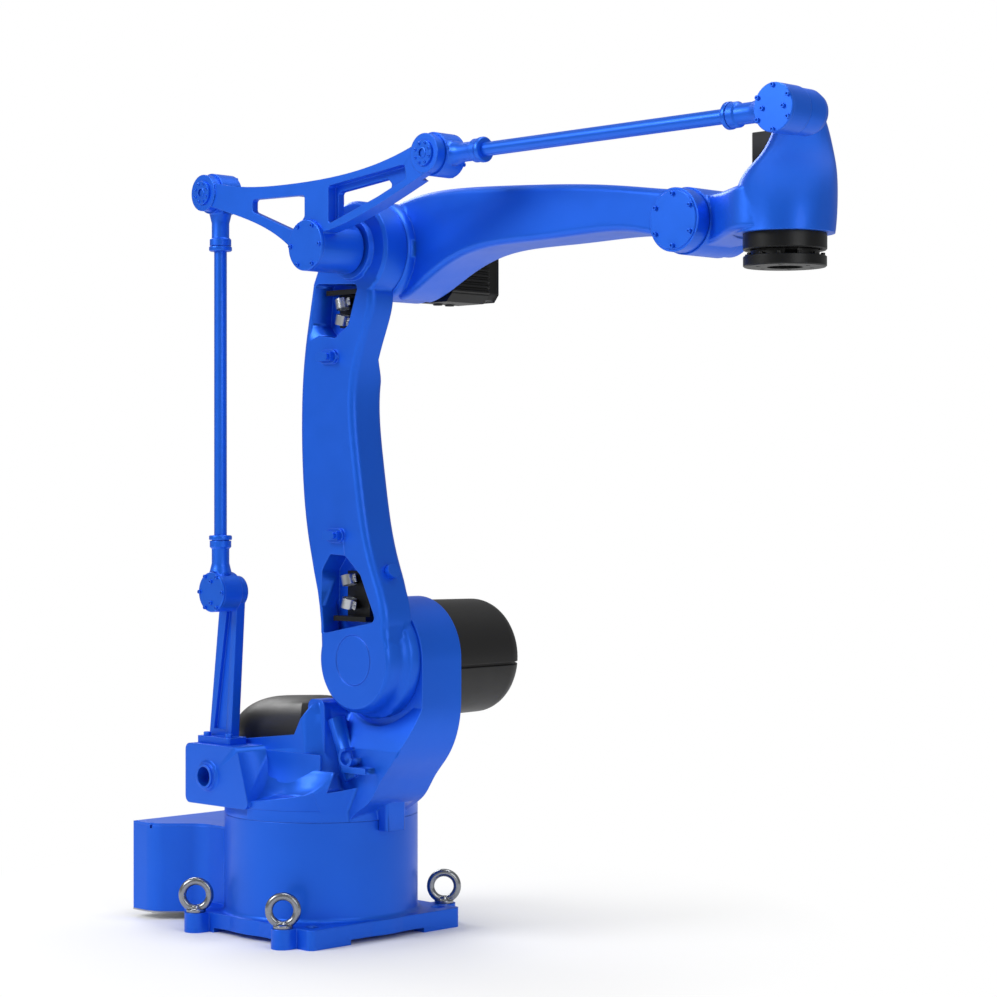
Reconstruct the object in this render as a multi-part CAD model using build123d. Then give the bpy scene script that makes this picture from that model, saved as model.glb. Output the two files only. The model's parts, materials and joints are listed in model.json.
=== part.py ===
from build123d import *
import os
from math import cos, radians, sin

# A palletizing robot with two parallel linkages, in millimetres.
# +Z is up, +X runs along the forearm towards the tool, and the origin is on the
# waist axis at floor level. The side with the link rods faces -Y.

# Pivots of the arm, in the XZ plane
shoulder_x = 227.0
shoulder_z = 568.0
lower_arm_length = 814.0
forearm_length = 808.0
rear_link_back = 324.0
rear_link_rise = 129.0
fore_link_ahead = 332.0
fore_link_rise = 148.0
flange_ahead_of_wrist = 187.0

elbow_x = shoulder_x
elbow_z = shoulder_z + lower_arm_length
wrist_x = elbow_x + forearm_length
wrist_z = elbow_z
rear_low = (shoulder_x - rear_link_back, shoulder_z + rear_link_rise)
rear_high = (elbow_x - rear_link_back, elbow_z + rear_link_rise)
fore_near = (elbow_x + fore_link_ahead, elbow_z + fore_link_rise)
fore_far = (wrist_x + fore_link_ahead, wrist_z + fore_link_rise)
flange_x = wrist_x + flange_ahead_of_wrist

# Clearances
running_gap = 0.05
face_gap = 0.5
seat_gap = 0.1
cover_gap = 0.2
pocket_gap = 2.0

# Base
base_radius = 200.0
base_top_z = 240.0
plate_half = 205.0
plate_bottom_z = 10.0
plate_top_z = 40.0
plate_corner_radius = 14.0
foot_length = 105.0
ear_x = 138.0
ear_y = 220.0
ear_radius = 24.0
base_bolt_x = 170.0
base_bolt_y = 172.0
base_bolt_hole_radius = 9.0
base_bolt_spot_radius = 15.0
base_bolt_spot_depth = 2.0
base_fillet_height = 10.0
box_back_x = -380.0
box_half_width = 198.0
box_neck_half_width = 122.0
box_bottom_z = 18.0
box_top_z = 198.0
box_straight_length = 66.0
box_cheek_radius = 60.0
box_wall = 9.0
box_lid_thickness = 5.0
lid_screw_radius = 3.0
lid_screw_length = 6.0
lid_margin = 9.0
rear_panel_thickness = 6.0
panel_half = 160.0
panel_edge = 14.0
panel_lap = 10.0
panel_corner_radius = 8.0
connector_spacing = 85.0
connector_half = 30.0
connector_half_height = 40.0
connector_depth = 22.0
connector_recess = 14.0
connector_wall = 5.0
connector_corner_radius = 3.0

# Lifting eyebolts
eye_outer_radius = 36.0
eye_wire_radius = 8.0
eye_centre_height = 35.0
eye_collar_radius = 20.0
eye_collar_height = 9.0
eye_shank_radius = 10.0
eye_shank_length = 24.0

# Turret
turret_low = base_top_z + face_gap
turret_disc_height = 24.0
turret_wall_z = 262.0
turret_rim_z = 345.0
turret_rim_lean = 40.0
turret_rim_radius = 205.0
turret_scoop_radius = 100.0
turret_scoop_z = 368.0
flank_near_y = -84.0
flank_top_z = 475.0
flank_full_z = 390.0
column_radius = 17.0
column_y = -84.0
waist_reducer_radius = 120.0
waist_reducer_height = 92.0
waist_reducer_rim_radius = 128.0
waist_reducer_rim_drop = 24.0
waist_reducer_rim_height = 16.0
waist_reducer_hole_radius = 42.0
upright_y = (-41.5, 65.0)
upright_top_radius = 123.0
saddle_half_width = 134.0
saddle_top_z = 396.0
bracket_y = (-210.0, -60.0)
bracket_top_z = 384.0
bracket_bottom_z = 261.0
bracket_back_x = -186.0
bracket_front_x = -20.0
bracket_slope = 40.0
bracket_corner_radius = 14.0
boss_x = -112.0
boss_z = 320.0
boss_bore_radius = 20.0
boss_outer_radius = 29.0
boss_length = 12.0
boss_bore_depth = 60.0
stop_lug_reach = 226.0
stop_lug_y = (-22.0, 30.0)
stop_lug_z = (220.0, 292.0)
arm_sweep_radius = 134.0

# Post of the rear link
post_screw_radius = 5.0
post_screw_length = 14.0
post_screw_x = (-155.0, -85.0)
post_screw_y = -177.0
post_foot_x = (-174.0, -70.0)
post_foot_y = (-190.0, -140.0)
post_foot_height = 14.0
post_thickness = 21.5
post_boss_radius = 32.0
post_channel_depth = 9.0

# Waist and shoulder drives
waist_motor_x = -112.0
waist_motor_half = 52.0
waist_motor_height = 50.0
waist_motor_cap_height = 20.0
waist_cover_radius = 110.0
waist_cover_front_x = 60.0
waist_cover_edge_z = 393.0
waist_cover_nose_z = 471.0
waist_cover_front_z = 484.0
waist_seat_z = 374.0
cover_wall = 4.0
shoulder_reducer_radius = 78.0
shoulder_reducer_inset = 4.0
shoulder_cover_radius = 119.0
shoulder_cover_end_y = 255.0
shoulder_cover_round = 30.0
shoulder_cover_drop = 4.0
shoulder_motor_half = 60.0
shoulder_motor_length = 120.0

# Lower arm
arm_front_y = -115.0
arm_hub_back_y = -42.0
arm_back_y = -32.0
arm_hub_radius = 104.0
arm_hub_flare = 14.0
arm_corner_radius = 15.0
arm_groove_radius = 50.0
elbow_plane_y = -57.0
elbow_hub_radius = 96.0
elbow_relief_length = 217.0
shoulder_relief_length = 138.0
arm_window_depth = 48.0
lug_pad_length = 50.0
lug_pad_width = 28.0
lug_pad_height = 7.0
lug_block_height = 10.0
lug_screw_radius = 4.0
lug_screw_length = 8.0
clamp_radius = 15.0
clamp_wall = 2.5
clamp_height = 14.0
clamp_plate_thickness = 8.0
clamp_shelf_depth = 32.0
arm_stop_radius = 14.0
arm_stop_depth = 6.0
arm_stop_height = 11.0

# Edges of the lower arm: height above the shoulder, left and right of the pivot line
arm_sections = [
    (67.0, -104.0, 92.0),
    (130.0, -113.0, 81.0),
    (200.0, -133.0, 52.0),
    (318.0, -156.0, 21.5),
    (480.0, -164.0, -2.0),
    (lower_arm_length - 193, -153.0, 21.0),
    (lower_arm_length - 62, -127.0, 43.0),
]

# Lug pads of the lower arm: distance from the pivot line and height above the shoulder
arm_roots = [(0.0, -101.0, 101.0), (lower_arm_length, -95.0, 60.0)]
lug_places = [
    (-48.0, 247.0),
    (-68.0, lower_arm_length - 210),
]

# Bell crank
crank_front_y = -240.0
crank_plate_thickness = 14.0
crank_depth = 34.0
crank_web_recess = 20.0
crank_hub_radius = 50.0
crank_end_radius = 37.0
crank_hub_back_y = -131.0
crank_cap_thickness = 8.0
crank_end_cap_radius = 24.0
crank_end_cap_thickness = 5.0
crank_bearing_radius = 36.0
crank_bearing_width = 24.0
hub_screw_radius = 2.5
hub_screw_length = 8.0
hub_screw_circle = 42.5
elbow_shaft_radius = 28.0
elbow_shaft_seat_y = -90.0

# Link rods, the same pieces on both
rod_plane_y = -189.0
rod_radius = 13.0
rod_end_radius = 41.0
rod_end_width = 50.0
rod_end_bore_radius = 27.0
rod_bearing_width = 30.0
rod_pin_radius = 14.0
rod_neck_radius = 18.0
rod_throat_radius = 24.0
rod_neck_end = 92.0
rod_collar_radius = 22.0
rod_collar_length = 13.0
rod_nut_radius = 23.5
rod_nut_length = 11.0
rod_cap_thickness = 6.0
rod_socket_depth = 30.0
rod_screw_radius = 2.5
rod_screw_length = 9.0
rod_screw_circle = 36.5
rod_jack_screw_circle = 22.0

# Forearm
ear_half_width = 78.0
ear_inner_half = 48.0
wrist_ear_radius = 57.0
wrist_pin_radius = 20.0
wrist_cap_radius = 53.0
wrist_cap_thickness = 4.0
wrist_cap_screw_circle = 46.0
forearm_corner_radius = 14.0
forearm_barrel_end_y = 72.0
forearm_inner_reach = 214.0
elbow_reducer_radius = 72.0
elbow_reducer_depth = 45.0
elbow_motor_x = 268.0
elbow_motor_z = 1333.0
elbow_motor_half = 52.0
elbow_motor_length = 130.0
elbow_motor_fins = 7

# Forearm sections: distance ahead of the elbow, near and far faces in Y, underside and
# top measured from the height of the elbow
forearm_sections = [
    (40.0, -30.0, 70.0, -98.0, 98.0),
    (130.0, -42.0, 68.0, -64.0, 108.0),
    (240.0, -52.0, 64.0, -24.0, 108.0),
    (380.0, -60.0, 60.0, -11.0, 100.0),
    (540.0, -66.0, 62.0, -9.0, 88.0),
    (forearm_length - 128, -72.0, 70.0, -11.0, 72.0),
    (forearm_length, -78.0, 78.0, -44.0, 54.0),
]

# Wrist and tool flange
head_radius = 85.0
head_bottom_z = 1349.0
tongue_radius = 60.0
ring_radius = 73.0
ring_bottom_z = 1320.0
flange_neck_radius = 60.0
flange_neck_bottom_z = 1309.5
flange_radius = 72.5
flange_bottom_z = 1291.0
flange_pilot_radius = 31.5
flange_pilot_depth = 8.0
flange_bolt_circle = 100.0
flange_bolt_count = 6
flange_bolt_radius = 4.25
flange_bolt_depth = 16.0
wrist_motor_half = 42.0
wrist_motor_top_z = 1524.0
wrist_motor_seat_z = 1424.0
link_ear_radius = 39.0
link_ear_back_y = -102.0
link_pin_back_y = -112.0

# Wrist sections going up: height, offset from the tool axis in X and Y, width
wrist_sections = [
    (head_bottom_z, 0.0, 0.0, 2 * head_radius - 2),
    (head_bottom_z + 43, 2.0, 0.0, 2 * head_radius + 2),
    (head_bottom_z + 83, 14.0, -10.0, 166.0),
    (head_bottom_z + 121, 61.0, -47.0, 128.0),
    (head_bottom_z + 159, 99.0, -82.0, 92.0),
    (head_bottom_z + 183, 120.0, -101.0, 62.0),
]

nodes = {}


def add(name, *solids):
    """Keeps the solids of one node under its name."""
    nodes[name] = list(solids)


def z_cylinder(radius, x, y, low, high):
    """A cylinder along Z between two heights."""
    return Pos(x, y, (low + high) / 2) * Cylinder(radius, high - low)


def y_cylinder(radius, x, z, near, far):
    """A cylinder along Y between two depths."""
    return Pos(x, (near + far) / 2, z) * Rot(90, 0, 0) * Cylinder(radius, far - near)


def block(x_span, y_span, z_span):
    """A box given by its three spans."""
    sizes = [span[1] - span[0] for span in (x_span, y_span, z_span)]
    middle = [(span[1] + span[0]) / 2 for span in (x_span, y_span, z_span)]
    return Pos(*middle) * Box(*sizes)


def side_slab(face, near, far):
    """Extrudes a face drawn in X and Z from one depth in Y to another."""
    return Pos(0, far, 0) * extrude(Plane.XZ * face, far - near)


def plan_slab(face, low, high):
    """Extrudes a face drawn in X and Y from one height to another."""
    return Pos(0, 0, low) * extrude(face, high - low)


def polygon(points):
    """A flat face with straight sides."""
    return make_face(Polyline(*points, close=True))


def turned(points):
    """A solid of revolution about Z from points given as radius and height."""
    return revolve(Plane.XZ * polygon(points), Axis.Z)


def along_y(solid, x, y, z):
    """Turns a solid made about Z so that its axis points along +Y."""
    return Pos(x, y, z) * Rot(-90, 0, 0) * solid


def against_y(solid, x, y, z):
    """Turns a solid made about Z so that its axis points along -Y."""
    return Pos(x, y, z) * Rot(90, 0, 0) * solid


def cap_screw(shank_radius, shank_length):
    """A cap screw with its seat at the origin and its head up."""
    head = 1.6 * shank_radius
    return turned([
        (0, -shank_length),
        (shank_radius, -shank_length),
        (shank_radius, 0),
        (head, 0),
        (head, head),
        (0, head),
    ])


def screw_hole(shank_radius, shank_length):
    """The hole that a cap screw of this size drops into."""
    depth = shank_length + face_gap
    return Pos(0, 0, -depth / 2) * Cylinder(shank_radius + seat_gap, depth)


def ring_places(radius, count, start):
    """Places on a circle about Z, without turning them."""
    step = 360 / count
    angles = [radians(start + step * index) for index in range(count)]
    return [Pos(radius * cos(angle), radius * sin(angle), 0) for angle in angles]


def plate_outline():
    """The base plate with its four lifting ears, in X and Y."""
    outline = RectangleRounded(2 * plate_half, 2 * plate_half, plate_corner_radius)
    for side_x in (-1, 1):
        for side_y in (-1, 1):
            middle_y = (ear_y + plate_half / 2) / 2
            ear = Pos(side_x * ear_x, side_y * middle_y) * Rectangle(2 * ear_radius, ear_y - plate_half / 2)
            tip = Pos(side_x * ear_x, side_y * ear_y) * Circle(ear_radius)
            outline = outline + ear + tip
    return outline


def foot_pads():
    """The four corner pads that stand on the floor."""
    outline = plate_outline()
    pads = []
    for side_x in (-1, 1):
        for side_y in (-1, 1):
            middle_x = side_x * (plate_half - foot_length / 2)
            window = Pos(middle_x, side_y * plate_half) * Rectangle(foot_length, 2 * foot_length)
            pads.append(plan_slab(outline & window, 0, plate_bottom_z))
    return pads


def box_outline(inset):
    """The rear terminal box in plan, with its rounded 45 degree cheeks."""
    back = box_back_x + inset
    half = box_half_width - inset
    neck = box_neck_half_width - inset
    cheek_x = box_back_x + box_straight_length
    neck_x = cheek_x + (box_half_width - box_neck_half_width)
    front = -base_radius / 2
    face = polygon([
        (back, -half),
        (cheek_x, -half),
        (neck_x, -neck),
        (front, -neck),
        (front, neck),
        (neck_x, neck),
        (cheek_x, half),
        (back, half),
    ])
    bends = [corner for corner in face.vertices() if back + 1 < corner.X < front - 1]
    return fillet(bends, box_cheek_radius)


def base_casting():
    """Foot plate, round pedestal and the walls of the terminal box."""
    body = plan_slab(plate_outline(), plate_bottom_z, plate_top_z)
    for pad in foot_pads():
        body += pad
    flare = base_radius + base_fillet_height
    pedestal = turned([
        (0, plate_bottom_z),
        (flare, plate_bottom_z),
        (flare, plate_top_z),
        (base_radius + base_fillet_height * 0.3, plate_top_z + base_fillet_height * 0.3),
        (base_radius, plate_top_z + base_fillet_height),
        (base_radius, base_top_z),
        (0, base_top_z),
    ])
    housing = plan_slab(box_outline(0), box_bottom_z, box_top_z)
    hollow = plan_slab(box_outline(box_wall), box_bottom_z + box_wall, box_top_z)
    cutter = z_cylinder(base_radius - box_wall, 0, 0, 0, base_top_z)
    hollow = hollow - cutter
    hollow = hollow - block((-base_radius, 0), (-box_half_width, box_half_width), (0, base_top_z))
    body = body + pedestal + housing - hollow
    rear_half = panel_half - panel_lap
    rear_rim = panel_edge + panel_lap
    body -= block(
        (box_back_x, box_back_x + box_wall),
        (-rear_half, rear_half),
        (box_bottom_z + rear_rim, box_top_z - rear_rim),
    )
    body -= z_cylinder(waist_reducer_rim_radius, 0, 0, base_top_z - waist_reducer_height, base_top_z)
    for side_x in (-1, 1):
        for side_y in (-1, 1):
            x = side_x * base_bolt_x
            y = side_y * base_bolt_y
            body -= z_cylinder(base_bolt_hole_radius, x, y, 0, plate_top_z + 1)
            spot_low = plate_top_z - base_bolt_spot_depth
            spot_high = plate_top_z + 2 * base_fillet_height
            body -= z_cylinder(base_bolt_spot_radius, x, y, spot_low, spot_high)
    for place in eyebolt_places():
        low = plate_top_z - eye_shank_length - face_gap
        body -= place * z_cylinder(eye_shank_radius + seat_gap, 0, 0, low, plate_top_z)
    for place in lid_screw_places():
        body -= place * Pos(0, 0, box_top_z) * screw_hole(lid_screw_radius, lid_screw_length)
    return body


def eyebolt_places():
    """One place in each ear."""
    return [Pos(side_x * ear_x, side_y * ear_y, 0) for side_x in (-1, 1) for side_y in (-1, 1)]


def eyebolts():
    """Four forged lifting eyes standing on the ears."""
    shank = z_cylinder(eye_shank_radius, 0, 0, plate_top_z - eye_shank_length, plate_top_z)
    collar = turned([
        (0, plate_top_z),
        (eye_collar_radius, plate_top_z),
        (eye_collar_radius, plate_top_z + eye_collar_height * 0.6),
        (eye_collar_radius * 0.7, plate_top_z + eye_collar_height),
        (0, plate_top_z + eye_collar_height),
    ])
    ring = Rot(90, 0, 0) * Torus(eye_outer_radius - eye_wire_radius, eye_wire_radius)
    ring = Pos(0, 0, plate_top_z + eye_centre_height) * Rot(0, 0, 45) * ring
    neck = z_cylinder(eye_wire_radius * 1.2, 0, 0, plate_top_z, plate_top_z + eye_collar_height + eye_wire_radius)
    eye = shank + collar + ring + neck
    return [place * eye for place in eyebolt_places()]


def lid_screw_places():
    """Places of the screws that hold the terminal box lid."""
    cheek_x = box_back_x + box_straight_length
    places = []
    for side in (-1, 1):
        for x in (box_back_x + lid_margin, cheek_x - lid_margin):
            places.append(Pos(x, side * (box_half_width - box_wall / 2), 0))
    return places


def terminal_box_lid():
    """The flat lid of the terminal box, cut round the pedestal."""
    lid = plan_slab(box_outline(0), box_top_z, box_top_z + box_lid_thickness)
    lid -= z_cylinder(base_radius + seat_gap, 0, 0, 0, base_top_z)
    for place in lid_screw_places():
        lid -= place * z_cylinder(lid_screw_radius + seat_gap, 0, 0, box_top_z, box_top_z + box_lid_thickness)
    return lid


def lid_screws():
    """Cap screws on the terminal box lid."""
    screw = cap_screw(lid_screw_radius, lid_screw_length + box_lid_thickness)
    return [place * Pos(0, 0, box_top_z + box_lid_thickness) * screw for place in lid_screw_places()]


def rear_panel():
    """The connector panel on the back of the terminal box."""
    height = box_top_z - box_bottom_z - 2 * panel_edge
    middle_z = (box_top_z + box_bottom_z) / 2
    face = Pos(0, middle_z) * RectangleRounded(2 * panel_half, height, panel_corner_radius)
    plane = Plane(origin=(box_back_x, 0, 0), x_dir=(0, 1, 0), z_dir=(1, 0, 0))
    return extrude(plane * face, -rear_panel_thickness)


def rear_connectors():
    """Three rectangular multi-pole sockets on the rear panel."""
    shells = []
    front = box_back_x - rear_panel_thickness
    back = front - connector_depth
    middle_z = (box_top_z + box_bottom_z) / 2
    for y in (-connector_spacing, 0, connector_spacing):
        outer = block(
            (back, front),
            (y - connector_half, y + connector_half),
            (middle_z - connector_half_height, middle_z + connector_half_height),
        )
        outer = fillet(outer.edges().filter_by(Axis.X), connector_corner_radius)
        inner_half = connector_half - connector_wall
        inner_height = connector_half_height - connector_wall
        inner = block(
            (back, back + connector_recess),
            (y - inner_half, y + inner_half),
            (middle_z - inner_height, middle_z + inner_height),
        )
        shells.append(outer - inner)
    return shells


def waist_reducer():
    """The large hollow reducer that carries the turret, fixed in the pedestal."""
    rim_low = base_top_z - waist_reducer_rim_drop
    rim_high = rim_low + waist_reducer_rim_height
    return turned([
        (waist_reducer_hole_radius, base_top_z - waist_reducer_height),
        (waist_reducer_radius, base_top_z - waist_reducer_height),
        (waist_reducer_radius, rim_low),
        (waist_reducer_rim_radius, rim_low),
        (waist_reducer_rim_radius, rim_high),
        (waist_reducer_radius, rim_high),
        (waist_reducer_radius, base_top_z),
        (waist_reducer_hole_radius, base_top_z),
    ])


def upright_front():
    """The front profile of the upright, from the shoulder down to the round wall."""
    right = shoulder_x + upright_top_radius
    return Spline(
        (right, shoulder_z),
        (right, shoulder_z - 70),
        (right - 2, shoulder_z - 108),
        (right - 38, shoulder_z - 196),
        (right - 77, shoulder_z - 240),
        (right - 109, shoulder_z - 282),
        (base_radius - 20, turret_low),
        tangents=((0, -1), (-0.7, -1)),
    )


def upright_outline():
    """The shoulder upright from the side, in X and Z."""
    left = shoulder_x - upright_top_radius
    start = (left, shoulder_z)
    crown = ThreePointArc(start, (shoulder_x, shoulder_z + upright_top_radius), upright_front() @ 0)
    floor = Line(upright_front() @ 1, (-waist_cover_radius, turret_low))
    rear = Spline(
        (-waist_cover_radius, turret_low),
        (shoulder_x - 217, turret_low + 70),
        (shoulder_x - 157, shoulder_z - 150),
        start,
    )
    return make_face(crown + upright_front() + floor + rear)


def flank():
    """The thicker foot of the upright beside the sweep of the lower arm, faded into its near face."""
    whole = side_slab(upright_outline(), flank_near_y, upright_y[0])
    section = polygon([
        (flank_near_y, turret_low),
        (upright_y[0], turret_low),
        (upright_y[0], flank_top_z),
        (flank_near_y, flank_full_z),
    ])
    left = shoulder_x - 77
    right = shoulder_x + 2 * upright_top_radius
    return whole & extrude(Plane(origin=(left, 0, 0), x_dir=(0, 1, 0), z_dir=(1, 0, 0)) * section, right - left)


def saddle_outline():
    """The saddle that carries the waist motor, in X and Z."""
    return polygon([
        (-178, turret_low + 20),
        (-186, turret_low + 46),
        (-150, saddle_top_z - 40),
        (-100, saddle_top_z - 4),
        (70, saddle_top_z + 16),
        (108, shoulder_z - 92),
        (150, shoulder_z - 84),
        (178, shoulder_z - 110),
        (190, turret_low + 60),
        (178, turret_low + 20),
    ])


def saddle():
    """The saddle, kept within a round form that narrows upwards."""
    limit = turned([
        (0, turret_low),
        (base_radius - 2, turret_low),
        (base_radius - 2, turret_low + 40),
        (base_radius - 30, saddle_top_z - 60),
        (base_radius - 48, shoulder_z),
        (0, shoulder_z),
    ])
    return side_slab(saddle_outline(), -saddle_half_width, saddle_half_width) & limit


def round_wall():
    """The round wall on the waist bearing that leans to the front."""
    foot = Plane(origin=(0, 0, turret_wall_z)) * Circle(base_radius)
    top = Plane(origin=(turret_rim_lean, 0, turret_rim_z)) * Circle(turret_rim_radius)
    return z_cylinder(base_radius, 0, 0, turret_low, turret_wall_z) + loft([foot, top], ruled=True)


def turntable():
    """The round wall with the curved rim of the scoop."""
    back = (-1.5 * base_radius, turret_wall_z)
    front = (2 * base_radius, turret_rim_z - 6)
    rim = Spline(back, (-20, 272), (60, 283), (164, 301), (212, 314), (247, 334), front)
    walls = Polyline(front, (front[0], turret_low), (back[0], turret_low), back)
    return round_wall() & side_slab(make_face(rim + walls), -2 * base_radius, 2 * base_radius)


def scoop():
    """The hollow fillet between the saddle's near wall and the rim."""
    near = -base_radius - 5
    fill = block((bracket_front_x - 40, base_radius), (near, -saddle_half_width), (turret_low, turret_scoop_z))
    middle_y = -saddle_half_width - turret_scoop_radius
    round_cut = Pos(0, middle_y, turret_scoop_z) * Rot(0, 90, 0) * Cylinder(turret_scoop_radius, 4 * base_radius)
    return (fill - round_cut) & (round_wall() + z_cylinder(base_radius, 0, 0, turret_wall_z, turret_scoop_z))


def turret_casting():
    """Round wall, saddle, shoulder upright, link bracket and stop lug in one casting."""
    body = turntable() + saddle() + scoop() + side_slab(upright_outline(), *upright_y) + flank()
    body += link_bracket() + stop_lug() + column()
    body -= y_cylinder(arm_sweep_radius, shoulder_x, shoulder_z, -saddle_half_width - 10, upright_y[0])
    cover_reach = shoulder_cover_radius + shoulder_cover_drop + pocket_gap
    body -= y_cylinder(cover_reach, shoulder_x, shoulder_z, upright_y[1], saddle_half_width + 10)
    body -= y_cylinder(shoulder_reducer_radius + running_gap, shoulder_x, shoulder_z, *upright_y)
    body -= waist_cover_seat()
    body -= waist_motor_pocket()
    for place in post_screw_places():
        body -= place * screw_hole(post_screw_radius, post_screw_length)
    return body


def link_bracket():
    """The side bracket that carries the post of the rear link."""
    arm = side_slab(polygon([
        (bracket_back_x, bracket_bottom_z),
        (bracket_front_x + bracket_slope, bracket_bottom_z),
        (bracket_front_x, bracket_top_z),
        (bracket_back_x, bracket_top_z),
    ]), *bracket_y)
    arm = fillet(arm.edges().filter_by(Axis.Y), bracket_corner_radius)
    boss = against_y(turned([
        (0, 0),
        (boss_outer_radius + 4, 0),
        (boss_outer_radius, 4),
        (boss_outer_radius, boss_length / 2),
        (boss_outer_radius - 4, boss_length / 2),
        (boss_outer_radius - 4, boss_length),
        (0, boss_length),
    ]), boss_x, bracket_y[0], boss_z)
    bore = y_cylinder(boss_bore_radius, boss_x, boss_z, bracket_y[0] - boss_length, bracket_y[0] + boss_bore_depth)
    return arm + boss - bore


def stop_lug():
    """The lug at the front of the turret that meets the waist stop."""
    lug = block((base_radius - 20, stop_lug_reach), stop_lug_y, stop_lug_z)
    lug = fillet(lug.edges().filter_by(Axis.Z), 6)
    return lug - z_cylinder(base_radius + pocket_gap, 0, 0, 0, turret_low)


def column():
    """The sloping round column beside the arm, with its lug above and its hooked shelf below."""
    lean = -23.0
    foot = Pos(shoulder_x - 34, column_y, shoulder_z - 240) * Rot(0, lean, 0)
    stem = foot * z_cylinder(column_radius, 0, 0, 0, 128)
    lug = block((shoulder_x - 146, shoulder_x - 96), (column_y - 22, column_y + 22), (shoulder_z - 190, shoulder_z - 84))
    lug = fillet(lug.edges().filter_by(Axis.Y).sort_by(Axis.Z)[-2:], 16)
    shelf = block((shoulder_x - 40, shoulder_x + 30), (column_y - 26, column_y), (shoulder_z - 225, shoulder_z - 213))
    lip = y_cylinder(20, shoulder_x - 30, shoulder_z - 196, column_y - 26, column_y)
    lip -= y_cylinder(14, shoulder_x - 30, shoulder_z - 196, column_y - 26, column_y)
    lip -= block((shoulder_x - 30, shoulder_x), (column_y - 26, column_y), (shoulder_z - 196, shoulder_z - 170))
    return stem + lug + shelf + lip


def waist_cover_seat():
    """The level seat in the saddle under the waist motor cover."""
    radius = waist_cover_radius + pocket_gap
    front = waist_cover_front_x + pocket_gap
    nose = Pos(waist_motor_x, 0) * Circle(radius)
    tail = Pos((waist_motor_x + front) / 2, 0) * Rectangle(front - waist_motor_x, 2 * radius)
    return plan_slab(nose + tail, waist_seat_z, shoulder_z)


def waist_motor_pocket():
    """The pocket through the seat for the waist motor's flange."""
    half = waist_motor_half + pocket_gap
    return block((waist_motor_x - half, waist_motor_x + half), (-half, half), (waist_motor_low, waist_seat_z))


def waist_cover_section(crown_z, inset):
    """Half of the domed section of the waist motor cover, from its middle outwards."""
    radius = waist_cover_radius - inset
    edge_z = waist_cover_edge_z - inset
    rise = crown_z - inset - edge_z
    dome = Spline(
        (radius, edge_z),
        (radius * 0.8, edge_z + rise * 0.42),
        (radius * 0.44, edge_z + rise * 0.78),
        (0, edge_z + rise),
        tangents=((0, 1), (-1, 0)),
    )
    walls = Polyline((0, edge_z + rise), (0, waist_seat_z), (radius, waist_seat_z), (radius, edge_z))
    return make_face(dome + walls)


def waist_cover_form(inset):
    """The solid form of the cover: a round nose and a tail that rises to the front."""
    nose_half = waist_cover_section(waist_cover_nose_z, inset)
    front_half = waist_cover_section(waist_cover_front_z, inset)
    nose = Pos(waist_motor_x, 0, 0) * revolve(Plane.XZ * nose_half, Axis.Z)
    near = Plane(origin=(waist_motor_x, 0, 0), x_dir=(0, 1, 0), z_dir=(1, 0, 0))
    far = Plane(origin=(waist_cover_front_x - inset, 0, 0), x_dir=(0, 1, 0), z_dir=(1, 0, 0))
    half_tail = loft([near * nose_half, far * front_half], ruled=True)
    return nose + half_tail + mirror(half_tail, Plane.XZ)


waist_motor_low = waist_seat_z - 18


def waist_cover():
    """The domed black cover over the waist motor."""
    return waist_cover_form(0) - waist_cover_form(cover_wall)


def waist_motor():
    """The waist servo motor under its cover."""
    top = waist_motor_low + waist_motor_height
    body = block(
        (waist_motor_x - waist_motor_half, waist_motor_x + waist_motor_half),
        (-waist_motor_half, waist_motor_half),
        (waist_motor_low, top),
    )
    body = chamfer(body.edges().filter_by(Axis.Z), 9)
    return body + z_cylinder(waist_motor_half * 0.75, waist_motor_x, 0, top, top + waist_motor_cap_height)


post_near_y = rod_plane_y + rod_end_width / 2 + face_gap
post_y = (post_near_y, post_near_y + post_thickness)
def post_screw_places():
    """Places of the screws through the post's foot, on the bracket."""
    return [Pos(x, post_screw_y, bracket_top_z) for x in post_screw_x]


def link_post():
    """The tapered post that holds the lower pivot of the rear link."""
    top_x, top_z = rear_low
    seat = bracket_top_z + post_foot_height
    foot = block(post_foot_x, post_foot_y, (bracket_top_z, seat))
    foot = fillet(foot.edges().filter_by(Axis.Z), 6)
    left = post_foot_x[0] + 9
    right = post_foot_x[1] - 25
    web = side_slab(polygon([
        (left, seat),
        (right, seat),
        (top_x + post_boss_radius - 10, top_z - 18),
        (top_x - post_boss_radius + 1, top_z),
    ]), *post_y)
    boss = y_cylinder(post_boss_radius, top_x, top_z, *post_y)
    channel = side_slab(polygon([
        (left + 14, seat + 14),
        (right - 16, seat + 14),
        (top_x + 6, top_z - post_boss_radius - 8),
        (top_x - 12, top_z - post_boss_radius - 8),
    ]), post_y[0], post_y[0] + post_channel_depth)
    body = foot + web + boss - channel
    body -= y_cylinder(rod_pin_radius + seat_gap, top_x, top_z, *post_y)
    for place in post_screw_places():
        body -= place * z_cylinder(post_screw_radius + seat_gap, 0, 0, 0, post_foot_height)
    return body


def post_screws():
    """Cap screws that hold the post to its bracket."""
    screw = Pos(0, 0, post_foot_height) * cap_screw(post_screw_radius, post_screw_length + post_foot_height)
    return [place * screw for place in post_screw_places()]


def shoulder_reducer():
    """The shoulder reducer, held in the upright."""
    near = upright_y[0] + shoulder_reducer_inset
    return y_cylinder(shoulder_reducer_radius, shoulder_x, shoulder_z, near, upright_y[1])


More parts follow.
